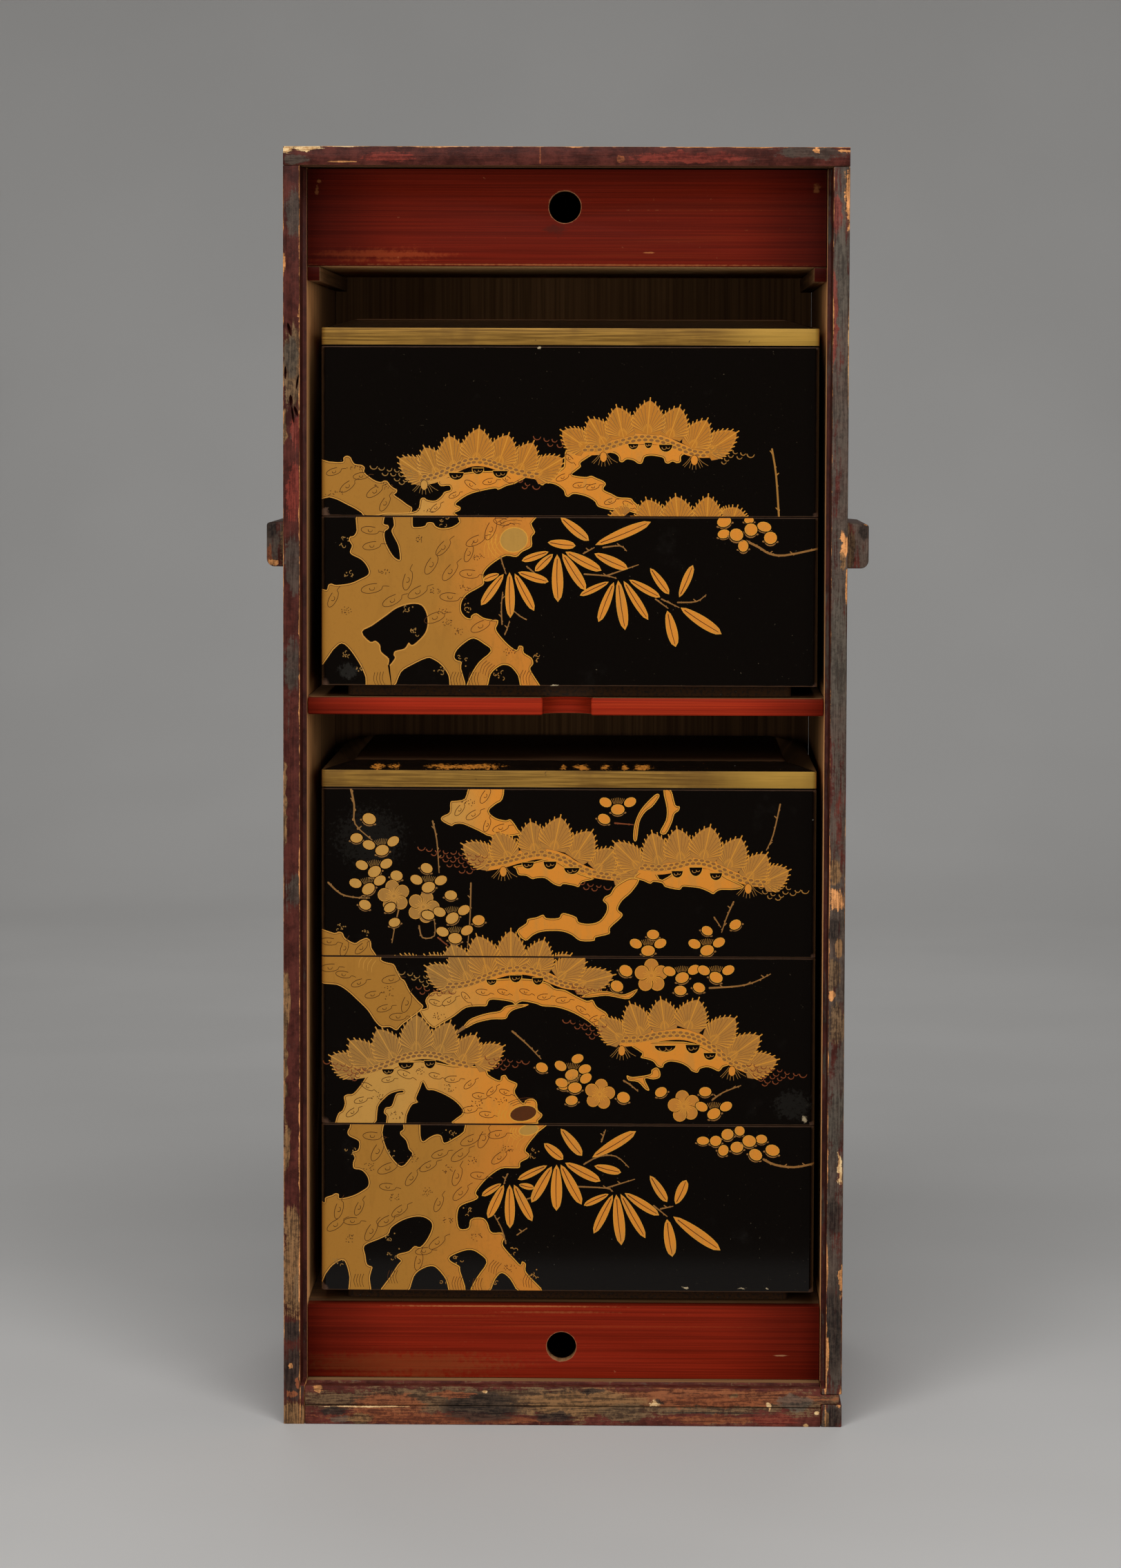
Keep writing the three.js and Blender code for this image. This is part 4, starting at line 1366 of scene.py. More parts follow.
def lower_tier_1(needles):
    sketch = Sketch(spots("20,24 2932,74 15,1003 2915,1040"), 25, needles)
    sketch.trunk(spots(
        "-5,520 35,490 40,460 80,445 100,435 120,440 125,465 200,450 260,420 295,390 290,340 255,300 "
        "210,290 205,255 215,225 200,195 235,180 240,130 185,100 173,75 185,50 215,5 380,5 380,80 395,150 "
        "430,220 490,280 540,235 556,205 535,180 520,130 487,95 487,75 505,60 507,5 595,5 605,100 620,135 "
        "660,110 700,95 730,105 745,145 800,120 860,80 920,5 1345,20 1300,90 1250,150 1225,195 1245,215 "
        "1240,240 1195,265 1190,295 1150,298 1080,300 1010,345 965,390 930,440 945,465 920,485 850,510 "
        "825,540 820,600 835,650 885,645 895,600 930,585 975,590 1000,620 1010,655 1030,675 1080,675 "
        "1100,700 1085,740 1110,780 1160,835 1190,865 1200,845 1222,860 1220,900 1250,940 1320,1025 "
        "1185,1025 1130,950 1080,912 1040,950 1000,1025 895,1025 930,940 990,850 950,800 900,775 840,785 "
        "775,815 780,840 830,870 835,900 865,1025 775,1025 750,950 700,885 660,868 600,890 560,930 "
        "515,1025 362,1025 420,930 465,860 485,835 460,815 470,795 530,780 565,750 600,755 640,710 668,650 "
        "665,610 620,580 560,578 490,600 430,640 410,680 350,710 270,745 275,800 285,855 315,870 310,895 "
        "300,940 300,1025 182,1025 180,930 160,850 135,828 80,860 40,910 -5,970"
    ))
    sketch.end_grain(1245, 75, 62, 34)
    sketch.ridges(1180, 145, 44, 44, 4, 35, "needle")
    sketch.whorls(spots(
        "320,100 350,190 410,290 410,400 550,350 650,280 720,210 840,215 900,130 980,120 1070,235 950,340 "
        "820,340 840,440 710,500 120,530 100,620 200,600 240,520 310,660 400,600 480,540 700,730 620,780 "
        "590,840 1060,100"
    ))
    for u, v in spots("450,460 560,230 760,300 900,250 1120,180 640,430 760,600 180,700 930,700 1130,880 "
                      "300,280"):
        sketch.dots(u, v, 36, 26)
    for u, v, angle in rows("1240,960,10 940,980,0 820,970,4 240,950,0 1040,880,25 440,930,0"):
        sketch.ridges(u, v, 24, 38, 4, angle)
    for u, v in spots(
        "190,190 430,200 790,100 1270,215 890,560 430,690 440,800 820,820 1140,790 1270,920 740,950 "
        "1030,980 110,850"
    ):
        sketch.moss(u, v)
    sketch.twig(spots("1120,330 1105,360 1096,390"), 8, side_buds=1)
    sketch.twig(spots("1105,740 1080,650 1030,560"), 8, side_buds=2)
    sketch.twig(spots("1170,690 1200,670 1230,650"), 7, side_buds=1)
    sketch.twig(spots("1230,480 1290,460 1330,430"), 8, side_buds=1)
    blades(sketch, "1335,155 1447,250,32 1352,285 1178,365,24 1380,290 1258,500,34 1408,280 1405,550,38 "
                   "1432,280 1554,515,34 1080,388 965,458,22 1095,395 1000,590,32 1130,395 1130,650,34 "
                   "1155,395 1262,610,32 1185,395 1275,415,20")
    for path in ("75,410 240,420 280,440", "240,420 410,370", "110,280 200,235 300,235 375,300", "215,150 "
                                                                                                 "240,80",
                 "520,525 600,590", "560,545 635,530"):
        sketch.twig(spots(path, MIDDLE), 9, side_buds=1)
    blades(sketch, "-25,70 100,230,34 160,240 420,90,34 0,270 208,380,33 172,290 330,330,28 255,455 "
                   "108,520,22 280,460 165,685,30 300,458 328,755,38 325,455 470,715,30 350,450 552,582,30 "
                   "500,350 600,505,30 650,518 715,378,34 598,605 628,825,38 635,590 912,790,38", MIDDLE)
    sketch.twig(spots("1170,262 1240,295 1350,310 1470,290", MIDDLE), 13, end=11, side_buds=3)
    buds(sketch, "815,150,36,24 890,152,34,30 935,207,30,32 1032,95,30,28 960,115,36,32 1015,190,38,32 "
                 "1160,145,34,26 1088,155,40,34 1125,235,40,32 1225,210,42,32", MIDDLE)
    return sketch


PICTURES = {
    "upper_tier_2": upper_tier_2,
    "upper_tier_1": upper_tier_1,
    "lower_tier_3": lower_tier_3,
    "lower_tier_2": lower_tier_2,
    "lower_tier_1": lower_tier_1,
}


# Tiers


SAME = 0.001 * MM
NEAR = 0.01 * MM
TONES = (
    "trunk", "edge", "line", "black", "gold", "amber", "needle",
    "khaki", "scale", "moss", "maroon", "twig", "cut", "petal",
)


def tone_materials():
    """The materials of the picture, in the order of TONES, each going from one colour to another."""
    _, tiers, _ = settings()
    gold, pale = tuple(tiers.gold), tuple(tiers.pale_gold)
    olive = (0.335, 0.148, 0.022)
    faded = (0.46, 0.235, 0.050)
    tones = {
        "trunk": (olive, (0.50, 0.175, 0.022)),
        "edge": (tone(pale, 1.05), (gold[0], gold[1] * 1.3, gold[2] * 1.5)),
        "line": ((0.058, 0.020, 0.004), (0.075, 0.020, 0.004)),
        "black": (tuple(tiers.black), tuple(tiers.black)),
        "gold": (faded, gold),
        "amber": ((0.36, 0.155, 0.022), (0.42, 0.155, 0.017)),
        "needle": (pale, (gold[0] * 0.95, gold[1] * 1.12, gold[2] * 1.2)),
        "khaki": ((0.300, 0.148, 0.034), (0.37, 0.158, 0.028)),
        "scale": ((0.19, 0.088, 0.028), (0.23, 0.095, 0.024)),
        "moss": ((0.26, 0.135, 0.034), (0.30, 0.135, 0.026)),
        "maroon": ((0.16, 0.040, 0.012), (0.15, 0.036, 0.010)),
        "twig": ((0.23, 0.110, 0.032), (0.24, 0.108, 0.028)),
        "cut": ((0.39, 0.205, 0.040), (0.39, 0.205, 0.040)),
        "petal": ((0.33, 0.158, 0.034), (0.44, 0.168, 0.024)),
    }
    materials = []
    for name in TONES:
        metallic = 0.0 if name in ("line", "black", "maroon") else 0.12
        roughness = 0.10 if name == "black" else 0.42
        drift = (-70 * MM, -20 * MM) if name == "trunk" else (-80 * MM, -35 * MM)
        materials.append(gold_lacquer(name + "_tone", *tones[name], metallic, roughness, drift))
    return materials


def upright(edge):
    """Whether the edge is an upright one."""
    a, b = (vert.co for vert in edge.verts)
    return abs(a.x - b.x) < SAME and abs(a.y - b.y) < SAME and abs(a.z - b.z) > SAME


def level_at(height, up):
    """The test for level faces at that height that look up, or down where up is -1."""

    def test(face):
        return face.normal.z * up > 0.99 and abs(face.calc_center_median().z - height) < NEAR

    return test


def sink(piece, height, up, border, move):
    """Insets the level face at that height and moves its middle up or down."""
    pick(piece, level_at(height, up))
    bpy.ops.mesh.inset(thickness=border, depth=0.0, use_even_offset=True)
    bpy.ops.mesh.extrude_region_move(TRANSFORM_OT_translate={"value": (0.0, 0.0, move)})


def round_uprights(piece, radius):
    """Rounds the piece's upright edges."""
    bpy.ops.mesh.select_mode(type="EDGE")
    pick(piece, upright, "edges")
    bpy.ops.mesh.bevel(offset=radius, segments=6, affect="EDGES", clamp_overlap=False)
    bpy.ops.mesh.select_mode(type="FACE")


def tier_body(name, low, high):
    """A hollow box with a plug below, its foot at low.z and its plug under that."""
    _, tiers, _ = settings()
    piece = box_piece(name, low, high)
    edit(piece)
    sink(piece, high.z, 1, tiers.wall, low.z + tiers.floor - high.z)
    sink(piece, low.z, -1, tiers.wall + tiers.plug_room, -tiers.plug_height)
    round_uprights(piece, tiers.corner)
    rounded(piece, tiers.arris)
    return piece


def sheet_of(sketch, low, high):
    """The picture's triangles on the rectangle from low to high: points, triangles and the tone of each."""
    _, tiers, _ = settings()
    corner, arris = tiers.corner, tiers.arris
    foot, head = low.z + arris, high.z - arris
    inset = 0.08 * MM
    points, lines = [], []

    def closed(path):
        start = len(points)
        points.extend(path)
        lines.extend((start + i, start + (i + 1) % len(path)) for i in range(len(path)))

    def straight(first, last):
        lines.append((len(points), len(points) + 1))
        points.extend((first, last))

    def millimetres(x, z):
        return Vector(((x - low.x) / MM, (z - low.z) / MM))

    closed([millimetres(x, z) for x, z in ((low.x, foot), (high.x, foot), (high.x, head), (low.x, head))])
    bends = [corner * (1 - math.sin(math.radians(15 * k))) for k in range(6)]
    bends.append(corner + 0.1 * MM)
    for bend in bends:
        for x in (low.x + bend, high.x - bend):
            straight(millimetres(x, foot), millimetres(x, head))
    for z in (foot + inset, head - inset):
        straight(millimetres(low.x, z), millimetres(high.x, z))
    outlines = []
    for path, name in sketch.shapes:
        ring = [millimetres(*sketch.on_tier(p, low, high)) for p in path]
        outlines.append((ring, TONES.index(name) + 1))
        closed(ring)
    merged_within = 0.0008
    verts, _, faces, _, _, _ = delaunay_2d_cdt(points, lines, [], 0, merged_within, False)
    places = np.array([tuple(v) for v in verts])
    triangles = np.array([tuple(f) for f in faces if len(f) == 3])
    middles = places[triangles].mean(axis=1)
    width, bottom, top = (high.x - low.x) / MM, arris / MM, (head - low.z) / MM
    inside = (middles[:, 0] > 0) & (middles[:, 0] < width) & (middles[:, 1] > bottom) & (middles[:, 1] < top)
    triangles, middles = triangles[inside], middles[inside]
    tones = np.zeros(len(triangles), int)
    for path, index in outlines:
        ring = np.array([tuple(p) for p in path])
        near = np.nonzero(((middles >= ring.min(0)) & (middles <= ring.max(0))).all(axis=1))[0]
        if len(near):
            tones[near[winding(ring, middles[near]) != 0]] = index
    return places, triangles, tones


def winding(ring, points):
    """How often the ring goes round each point."""
    x, y = points[:, 0:1], points[:, 1:2]
    ax, ay = ring[:, 0], ring[:, 1]
    bx, by = np.roll(ax, -1), np.roll(ay, -1)
    side = (bx - ax) * (y - ay) - (x - ax) * (by - ay)
    up = (ay <= y) & (by > y) & (side > 0)
    down = (ay > y) & (by <= y) & (side < 0)
    return up.sum(axis=1) - down.sum(axis=1)


def lay_sheet(piece, sketch, low, high):
    """Puts the picture in place of the tier's front, wrapped round its two corners."""
    _, tiers, _ = settings()
    corner, arris = tiers.corner, tiers.arris
    foot, head = low.z + arris, high.z - arris
    places, triangles, tones = sheet_of(sketch, low, high)
    mesh = bmesh.new()
    mesh.from_mesh(piece.data)
    gone = []
    for face in mesh.faces:
        heights = [v.co.z for v in face.verts]
        ahead = face.calc_center_median().y < low.y + corner - SAME
        if ahead and abs(min(heights) - foot) < NEAR and abs(max(heights) - head) < NEAR:
            gone.append(face)
    bmesh.ops.delete(mesh, geom=gone, context="FACES")
    rim = [edge for edge in mesh.edges if len(edge.link_faces) == 1]
    width, bottom, top = (high.x - low.x) / MM, arris / MM, (head - low.z) / MM
    hair = 0.004
    made = {}
    for index in np.unique(triangles):
        u, v = places[index]
        x, z = low.x + u * MM, low.z + v * MM
        past = max(low.x + corner - x, x - high.x + corner, 0.0)
        y = low.y + corner - math.sqrt(max(corner ** 2 - past ** 2, 0.0))
        place = Vector((x, y, z))
        on_rim = u < hair or u > width - hair or v < bottom + hair or v > top - hair
        made[index] = rim_vertex(rim, place) if on_rim else mesh.verts.new(place)
    for triangle, tone_index in zip(triangles, tones):
        corners = [made[i] for i in triangle]
        if len(set(corners)) < 3 or mesh.faces.get(corners):
            continue
        face = mesh.faces.new(corners)
        face.material_index = int(tone_index)
    mesh.normal_update()
    mesh.to_mesh(piece.data)
    mesh.free()


def rim_vertex(rim, place):
    """The rim's vertex at a place, made by splitting the rim's edge there if need be."""
    best, reach = None, math.inf
    for edge in rim:
        a, b = (v.co for v in edge.verts)
        for vert in edge.verts:
            if (vert.co - place).length < 1.5 * NEAR:
                return vert
        along = b - a
        t = min(max((place - a).dot(along) / along.length_squared, 0.0), 1.0)
        distance = (a + along * t - place).length
        if distance < reach:
            best, reach, part = edge, distance, t
    if reach > 5 * NEAR:
        raise RuntimeError(f"The picture's edge is {reach / MM:.3f} mm off the tier's front")
    new_edge, new_vert = bmesh.utils.edge_split(best, best.verts[0], part)
    new_vert.co = place
    rim.append(new_edge)
    return new_vert


def lid_piece(name, low, high):
    """A lid from its lip's foot at low.z to its flat top at high.z."""
    _, tiers, _ = settings()
    foot, rim = low.z + tiers.lid_lip, high.z - tiers.lid_rise
    board_thickness = 5 * MM
    piece = box_piece(name, (low.x, low.y, foot), (high.x, high.y, rim))
    edit(piece)
    sink(piece, foot, -1, tiers.wall + tiers.plug_room, -tiers.lid_lip)
    sink(piece, low.z, -1, board_thickness, high.z - board_thickness - low.z)
    round_uprights(piece, tiers.corner)
    pick(piece, level_at(rim, 1))
    bpy.ops.mesh.extrude_region_move(TRANSFORM_OT_translate={"value": (0.0, 0.0, tiers.lid_rise)})
    middle = ((low.x + high.x) / 2, (low.y + high.y) / 2, high.z)
    across = 1 - 2 * tiers.lid_bevel / (high.x - low.x)
    along = 1 - 2 * tiers.lid_bevel / (high.y - low.y)
    bpy.ops.transform.resize(value=(across, along, 1.0), center_override=middle)
    rounded(piece, 0.5 * MM)
    smooth(piece)
    edit(piece, "EDGE")
    pick(piece, lambda edge: all(abs(v.co.z - high.z) < NEAR for v in edge.verts), "edges")
    bpy.ops.mesh.mark_sharp()
    object_mode(piece)
    return piece


# Case


def dress(piece, materials, choose):
    """Gives each face the material whose number choose(middle, normal) returns."""
    for material in materials:
        piece.data.materials.append(material)
    for polygon in piece.data.polygons:
        polygon.material_index = choose(polygon.center, polygon.normal)


def board(node, materials, choose, slot, width=None):
    """A piece made from its CAD node, with arrises rounded by width and each face's material from choose."""
    case, _, _ = settings()
    piece = from_node(node, node + "_seen", case.edge_round if width is None else width)
    dress(piece, materials, choose)
    settle(piece, node, slot)


def side_patches(side):
    """Wear on the front ends of the side boards, from top to bottom."""
    if side < 0:
        return [
            (-131.0, 590, 4.5, 12, "slate"), (-136.2, 566, 0.8, 5, "bare"), (-127.6, 540, 1.0, 3.2, "bare"),
            (-131.5, 515, 5.5, 21, "brown"), (-132.5, 520, 3.0, 10, "slate"), (-129.0, 484, 4.0, 9, "red"),
            (-136.0, 487, 1.6, 9, "ochre"), (-131.0, 455, 4.0, 14, "red"), (-131.5, 420, 4.5, 16, "slate"),
            (-132.0, 372, 4.0, 14, "slate"), (-136.2, 304, 1.3, 26, "ochre"), (-131.0, 262, 3.4, 9, "slate"),
            (-135.6, 209, 2.6, 14, "ochre"), (-136.0, 182, 1.5, 34, "ochre"), (-135.2, 136, 2.0, 12, "ochre"),
            (-132.0, 98, 5.0, 9, "ochre"), (-131.5, 74, 6.5, 22, "ochre"), (-129.5, 68, 2.0, 9, "brown"),
            (-132.0, 46, 6.0, 5, "dark"), (-131.5, 25, 6.0, 14, "dark"), (-133.5, 29, 1.2, 1.5, "bare"),
            (-132.5, 15, 2.6, 1.6, "rust"), (-129.5, 20, 1.0, 2.0, "rust"), (-131.5, 4.0, 8.0, 6.5, "ochre"),
        ]
    return [
        (136.0, 597, 1.9, 17, "bare"), (130.0, 589, 2.6, 10, "red"), (132.5, 560, 4.0, 26, "slate"),
        (129.0, 540, 2.0, 22, "red"), (136.6, 524, 0.6, 30, "pale"), (128.4, 540, 0.9, 12, "bare"),
        (134.8, 431, 1.8, 6.0, "bare"), (134.2, 423, 1.2, 4.5, "ochre"), (136.4, 410, 0.9, 9, "bare"),
        (132.5, 380, 5.0, 26, "slate"), (131.5, 272, 3.0, 6, "ochre"), (132.5, 259, 3.8, 5.0, "bare"),
        (131.0, 244, 4.5, 6, "dark"), (133.5, 235, 2.2, 4.6, "ochre"), (131.0, 222, 4.0, 8, "brown"),
        (130.5, 212, 1.6, 3.2, "bare"), (133.0, 198, 4.0, 10, "brown"), (133.0, 150, 5.0, 16, "slate"),
        (134.5, 128, 1.0, 9, "pale"), (131.5, 104, 4.0, 10, "dark"), (136.0, 72, 1.2, 9, "bare"),
        (128.6, 78, 0.8, 12, "bare"), (132.0, 48, 5.0, 22, "dark"), (129.5, 36, 0.8, 9, "bare"),
        (136.0, 14, 1.3, 5, "bare"), (132.0, 5, 4.0, 6, "dark"), (129.0, 4, 1.4, 5, "ochre"),
    ]


def top_patches():
    """Wear on the top board's front edge, from left to right."""
    return [
        (-134.5, 621.0, 3.4, 2.6, "pale"), (-126.0, 621.8, 8.5, 1.9, "pale"), (-104, 622.4, 18, 0.8, "pale"),
        (-130.0, 616.0, 7.0, 2.6, "slate"), (-86.0, 617.0, 14, 2.4, "red"), (-12.6, 618, 0.35, 4.2, "rust"),
        (-20.0, 622.5, 60.0, 0.6, "bare"), (26.0, 616.0, 2.0, 1.6, "rust"), (60.0, 617.0, 26.0, 2.6, "red"),
        (80.0, 622.5, 50.0, 0.6, "bare"), (118.0, 619.5, 18, 3.0, "slate"), (120, 620.6, 1.6, 1.2, "bare"),
        (133.5, 620.6, 3.0, 1.0, "bare"), (-108.0, 614.6, 8.0, 0.5, "bare"),
    ]


def foot_patches():
    """Wear on the base's front, from left to right."""
    return [
        (0.0, 12.0, 160.0, 7.0, "brown"), (60.0, 14.0, 70.0, 5.0, "rust"), (-60.0, 3.0, 60.0, 3.0, "rust"),
        (-119.5, 17.6, 2.8, 1.6, "bare"), (-86.0, 9.0, 18.0, 7.0, "rust"), (-96.0, 8.8, 24.0, 0.4, "pale"),
        (-112.0, 6.4, 7.0, 2.2, "dark"), (-108.0, 2.6, 6.0, 1.6, "slate"), (-99.0, 2.6, 6.4, 2.6, "ochre"),
        (-40.0, 9.0, 20.0, 8.0, "dark"), (-54.0, 15.0, 12.0, 1.6, "rust"), (-38.0, 16.6, 1.4, 0.9, "pale"),
        (11.0, 10.5, 32.0, 7.0, "ochre"), (30.0, 6.0, 13.0, 4.5, "brown"), (-4.0, 4.4, 10.0, 2.6, "dark"),
        (15.0, 16.8, 6.0, 1.0, "dark"), (45.0, 11.0, 2.4, 1.6, "pale"), (47.0, 12.0, 1.4, 1.0, "dark"),
        (74.0, 12.4, 24.0, 3.4, "rust"), (74.0, 6.7, 26.0, 0.4, "dark"), (72.0, 3.4, 24.0, 2.2, "rust"),
        (113.5, 12.0, 9.0, 4.0, "slate"), (104.0, 3.0, 12.0, 3.0, "red"), (84.0, 15.4, 3.0, 1.2, "ochre"),
        (100.4, 10.0, 1.1, 2.0, "pale"), (124.4, 7.0, 1.2, 0.9, "pale"), (119.0, 0.8, 1.6, 0.9, "pale"),
    ]


class FOODBOX_OT_case(bpy.types.Operator):
    """Build the carrying case from its boards, with their wear"""

    bl_idname = "foodbox.case"
    bl_label = "Carrying Case"

    def execute(self, context):
        # The side boards' inner wood, with light painted in near the case's front.
        wood = inner_wood("case_inner_wood", painted_front_light=2.6)
        # Painted shade: the back board's inner face, deep in the case, is darkened to 0.55.
        rear_wood = inner_wood("case_rear_wood", shade=0.55)
        level_wood = inner_wood("case_level_wood", "x", 0.9)
        outer = worn_lacquer("case_outer_lacquer", "z", slate_share=0.15, wear=0.05)
        for side, name, edge_slate, edge_shade, step_slate in (
            (-1, "left", 0.15, 0.62, 0.1), (1, "right", 1.0, 0.8, 0.5),
        ):
            arrises = [
                (("x", side * CASE_TOP.x), ("y", FRONT), 0.16),
                (("x", side * (INNER_FACE + RABBET_DEPTH)), ("y", FRONT), 0.36),
            ]
            edge = worn_lacquer(f"side_edge_{name}", "z", side_patches(side), edge_slate, arrises, edge_shade)
            step = worn_lacquer(f"side_step_{name}", "z", (), step_slate, shade=0.55)

            def choose(middle, normal, side=side):
                inward = normal.x * side < -0.5
                if inward and middle.y > RECESS:
                    return 2
                if inward or (abs(normal.y) > 0.5 and RECESS - 1 * MM < middle.y < 100 * MM):
                    return 3
                return 0 if middle.y < FRONT + 2 * MM else 1

            board(f"side_board_{name}", [edge, outer, wood, step], choose, "case_lacquer")
        upper_arris = (("y", FRONT), ("z", CASE_TOP.z), 0.3)
        top = worn_lacquer("top_lacquer", "x", top_patches(), 0.0, [upper_arris], 0.66, 0.1)
        board("top_board", [top, outer, level_wood],
              lambda m, n: 2 if n.z < -0.5 else (0 if m.y < -100 * MM else 1), "case_lacquer")
        seam = (("y", FRONT), ("z", FOOT_SEAM), 0.12)
        foot = worn_lacquer("foot_lacquer", "x", foot_patches(), 0.1, [seam], wear=0.75)
        board("bottom_board", [foot, level_wood],
              lambda m, n: 1 if abs(n.z) > 0.5 and m.y > -110 * MM else 0, "case_lacquer")
        for node in ("foot_rail_front", "foot_rail_back"):
            board(node, [foot], lambda m, n: 0, "case_lacquer")
        # Painted shadow: the back board's end faces, in the joints with the side boards, are darkened almost
        # to black.
        back_edge_shadow = inner_wood("joint_wood", shade=0.06)
        board("back_board", [outer, rear_wood, back_edge_shadow],
              lambda m, n: 1 if n.y < -0.5 else (2 if abs(n.x) > 0.5 else 0), "case_lacquer", 0.06 * MM)
        # Painted shade: the dust board, just above the drawer, is darkened to 0.3.
        board("dust_board", [inner_wood("dust_wood", "x", 0.3)], lambda m, n: 0, "bare_wood", 0.3 * MM)
        rail = inner_wood("cleat_wood", "y", 0.8)
        rail_end = red_lacquer("cleat_end", bright=0.22)
        for node in ("drawer_cleat_left", "drawer_cleat_right"):
            board(node, [rail, rail_end], lambda m, n: 1 if n.y < -0.5 else 0, "bare_wood", 0.4 * MM)
        red = red_lacquer("shelf_lacquer", bright=0.85)
        board("shelf", [red, level_wood],
              lambda m, n: 1 if m.y > -101 * MM and abs(n.z) > 0.5 else 0, "red_lacquer", 0.9 * MM)
        return {"FINISHED"}


class FOODBOX_OT_handles(bpy.types.Operator):
    """Build the handle block on each side"""

    bl_idname = "foodbox.handles"
    bl_label = "Handles"

    def execute(self, context):
        own_wear = {
            "left": [(-148.5, 423, 2.0, 5.0, "rust"), (-147, 419, 3.6, 1.8, "bare")],
            "right": [(138, 424, 1.6, 7.0, "red"), (148.5, 439.5, 1.2, 0.8, "bare")],
        }
        for side, name, shade in ((-1, "left", 0.9), (1, "right", 1.4)):
            wear = [(side * 140, 428, 3.2, 12, "brown"), (side * 147.5, 436, 3.0, 5, "dark"), *own_wear[name]]
            grip = worn_lacquer(f"grip_{name}", "z", wear, 1.0, shade=shade, wear=0.3, front=HANDLE_FRONT)
            board(f"handle_{name}", [grip], lambda m, n: 0, "grip_wood", 1.2 * MM)
        return {"FINISHED"}


class FOODBOX_OT_drawers(bpy.types.Operator):
    """Build both drawers with their red lacquered fronts"""

    bl_idname = "foodbox.drawers"
    bl_label = "Drawers"

    def execute(self, context):
        wood = inner_wood("drawer_wood", "y", 0.8)
        # Painted light: the drawers' undersides are lightened 3.6 times.
        under = inner_wood("drawer_under", "x", 3.6)
        rim = inner_wood("hole_wood", "y", 1.2)
        orange, amber, brown = (0.34, 0.115, 0.035), (0.24, 0.040, 0.010), (0.17, 0.050, 0.014)
        marks = {
            "top": [
                (-120.6, 606.0, 1.6, 1.2, orange, 0.8), (-121.4, 601.5, 1.0, 2.6, orange, 0.7),
                (121.5, 603.5, 1.8, 2.2, orange, 0.7), (-92.0, 570.5, 34.0, 3.4, amber, 0.5),
                (-6.0, 583.0, 6.0, 2.4, (0.05, 0.008, 0.004), 0.7), (40.0, 572.0, 3.0, 0.5, orange, 0.6),
                (0.0, 566.0, 120.0, 0.5, orange, 0.5),
            ],
            "bottom": [
                (-80.0, 25.0, 60.0, 7.0, brown, 0.45), (0.0, 52.0, 34.0, 0.6, orange, 0.3),
                (-46.0, 50.0, 30.0, 0.6, amber, 0.4), (20.0, 45.0, 80.0, 0.5, amber, 0.3),
                (-30.0, 54.8, 60.0, 0.5, orange, 0.7), (107.0, 31.0, 3.0, 0.4, (0.6, 0.3, 0.14), 0.7),
            ],
        }
        # Painted shade: the top drawer's front is darker than the bottom one's (0.33 against 0.60), as shade
        # under the top board.
        for level, centre, radius, bright, ends in (
            ("top", 594.0 * MM, 7.8 * MM, 0.33, 0.42), ("bottom", 34.9 * MM, 7.3 * MM, 0.60, 0.5),
        ):
            hole = (HOLE_X, centre, radius)
            front = red_lacquer(f"{level}_drawer_lacquer", marks[level], bright, ends, 0.5, hole)

            def choose(middle, normal, centre=centre):
                near_hole = math.hypot(middle.x - HOLE_X, middle.z - centre) < 9.5 * MM
                return 1 if near_hole and abs(normal.y) < 0.9 else 0

            board(f"{level}_drawer_front", [front, rim], choose, "red_lacquer", 0.6 * MM)
            for part in ("side_left", "side_right", "back", "bottom"):
                board(f"{level}_drawer_{part}", [wood, under],
                      lambda m, n: 1 if n.z < -0.5 else 0, "bare_wood", 0.3 * MM)
        return {"FINISHED"}


def tier_marks(node):
    """Chips and scuffs on a tier's front, besides those at its corners."""
    chip, scuff, brown = (0.42, 0.33, 0.20), (0.026, 0.024, 0.020), (0.075, 0.042, 0.026)
    return {
        "upper_tier_1": [(-106.0, 7.0, 5.0, 4.0, scuff, 0.45), (-6.0, 0.3, 2.2, 0.5, chip, 0.9)],
        "upper_tier_2": [(-13.0, 82.2, 1.2, 0.6, chip, 0.9), (-117.5, 2.2, 1.6, 1.8, brown, 0.8)],
        "lower_tier_3": [(-96.0, 58.0, 18.0, 16.0, scuff, 0.2)],
        "lower_tier_2": [(118.0, 3.0, 1.6, 1.6, chip, 0.7), (112.0, 10.0, 10.0, 8.0, scuff, 0.25)],
        "lower_tier_1": [
            (60.0, 2.0, 1.2, 0.5, chip, 0.7), (88.0, 1.6, 2.0, 0.5, chip, 0.6),
            (100.0, 1.4, 1.0, 0.4, chip, 0.7),
        ],
    }[node]


class FOODBOX_OT_tiers(bpy.types.Operator):
    """Build the five food tiers with their gold pictures"""

    bl_idname = "foodbox.tiers"
    bl_label = "Tiers"

    def execute(self, context):
        _, tiers, _ = settings()
        tones = tone_materials()
        for node, draw in PICTURES.items():
            low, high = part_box(node)
            low = Vector((low.x, low.y, low.z + tiers.plug_height))
            piece = tier_body(node + "_seen", low, high)
            piece.data.materials.append(black_lacquer(node + "_lacquer", (low, high), tier_marks(node)))
            for material in tones:
                piece.data.materials.append(material)
            lay_sheet(piece, draw(tiers.needles), low, high)
            smooth(piece)
            settle(piece, node, "black_lacquer")
        return {"FINISHED"}


def lid_marks():
    """The gold branch and leaf tips on the front bevel of the lower lid, as black_lacquer takes its marks."""
    gold = (0.50, 0.18, 0.025)
    touches = rows("-92,4 -84,3 -60,9 -44,15 -1,1.6 8,4 20,3 29,1.6 38,5")
    return [(x, 14.4, half, 1.3, gold, 0.9) for x, half in touches]


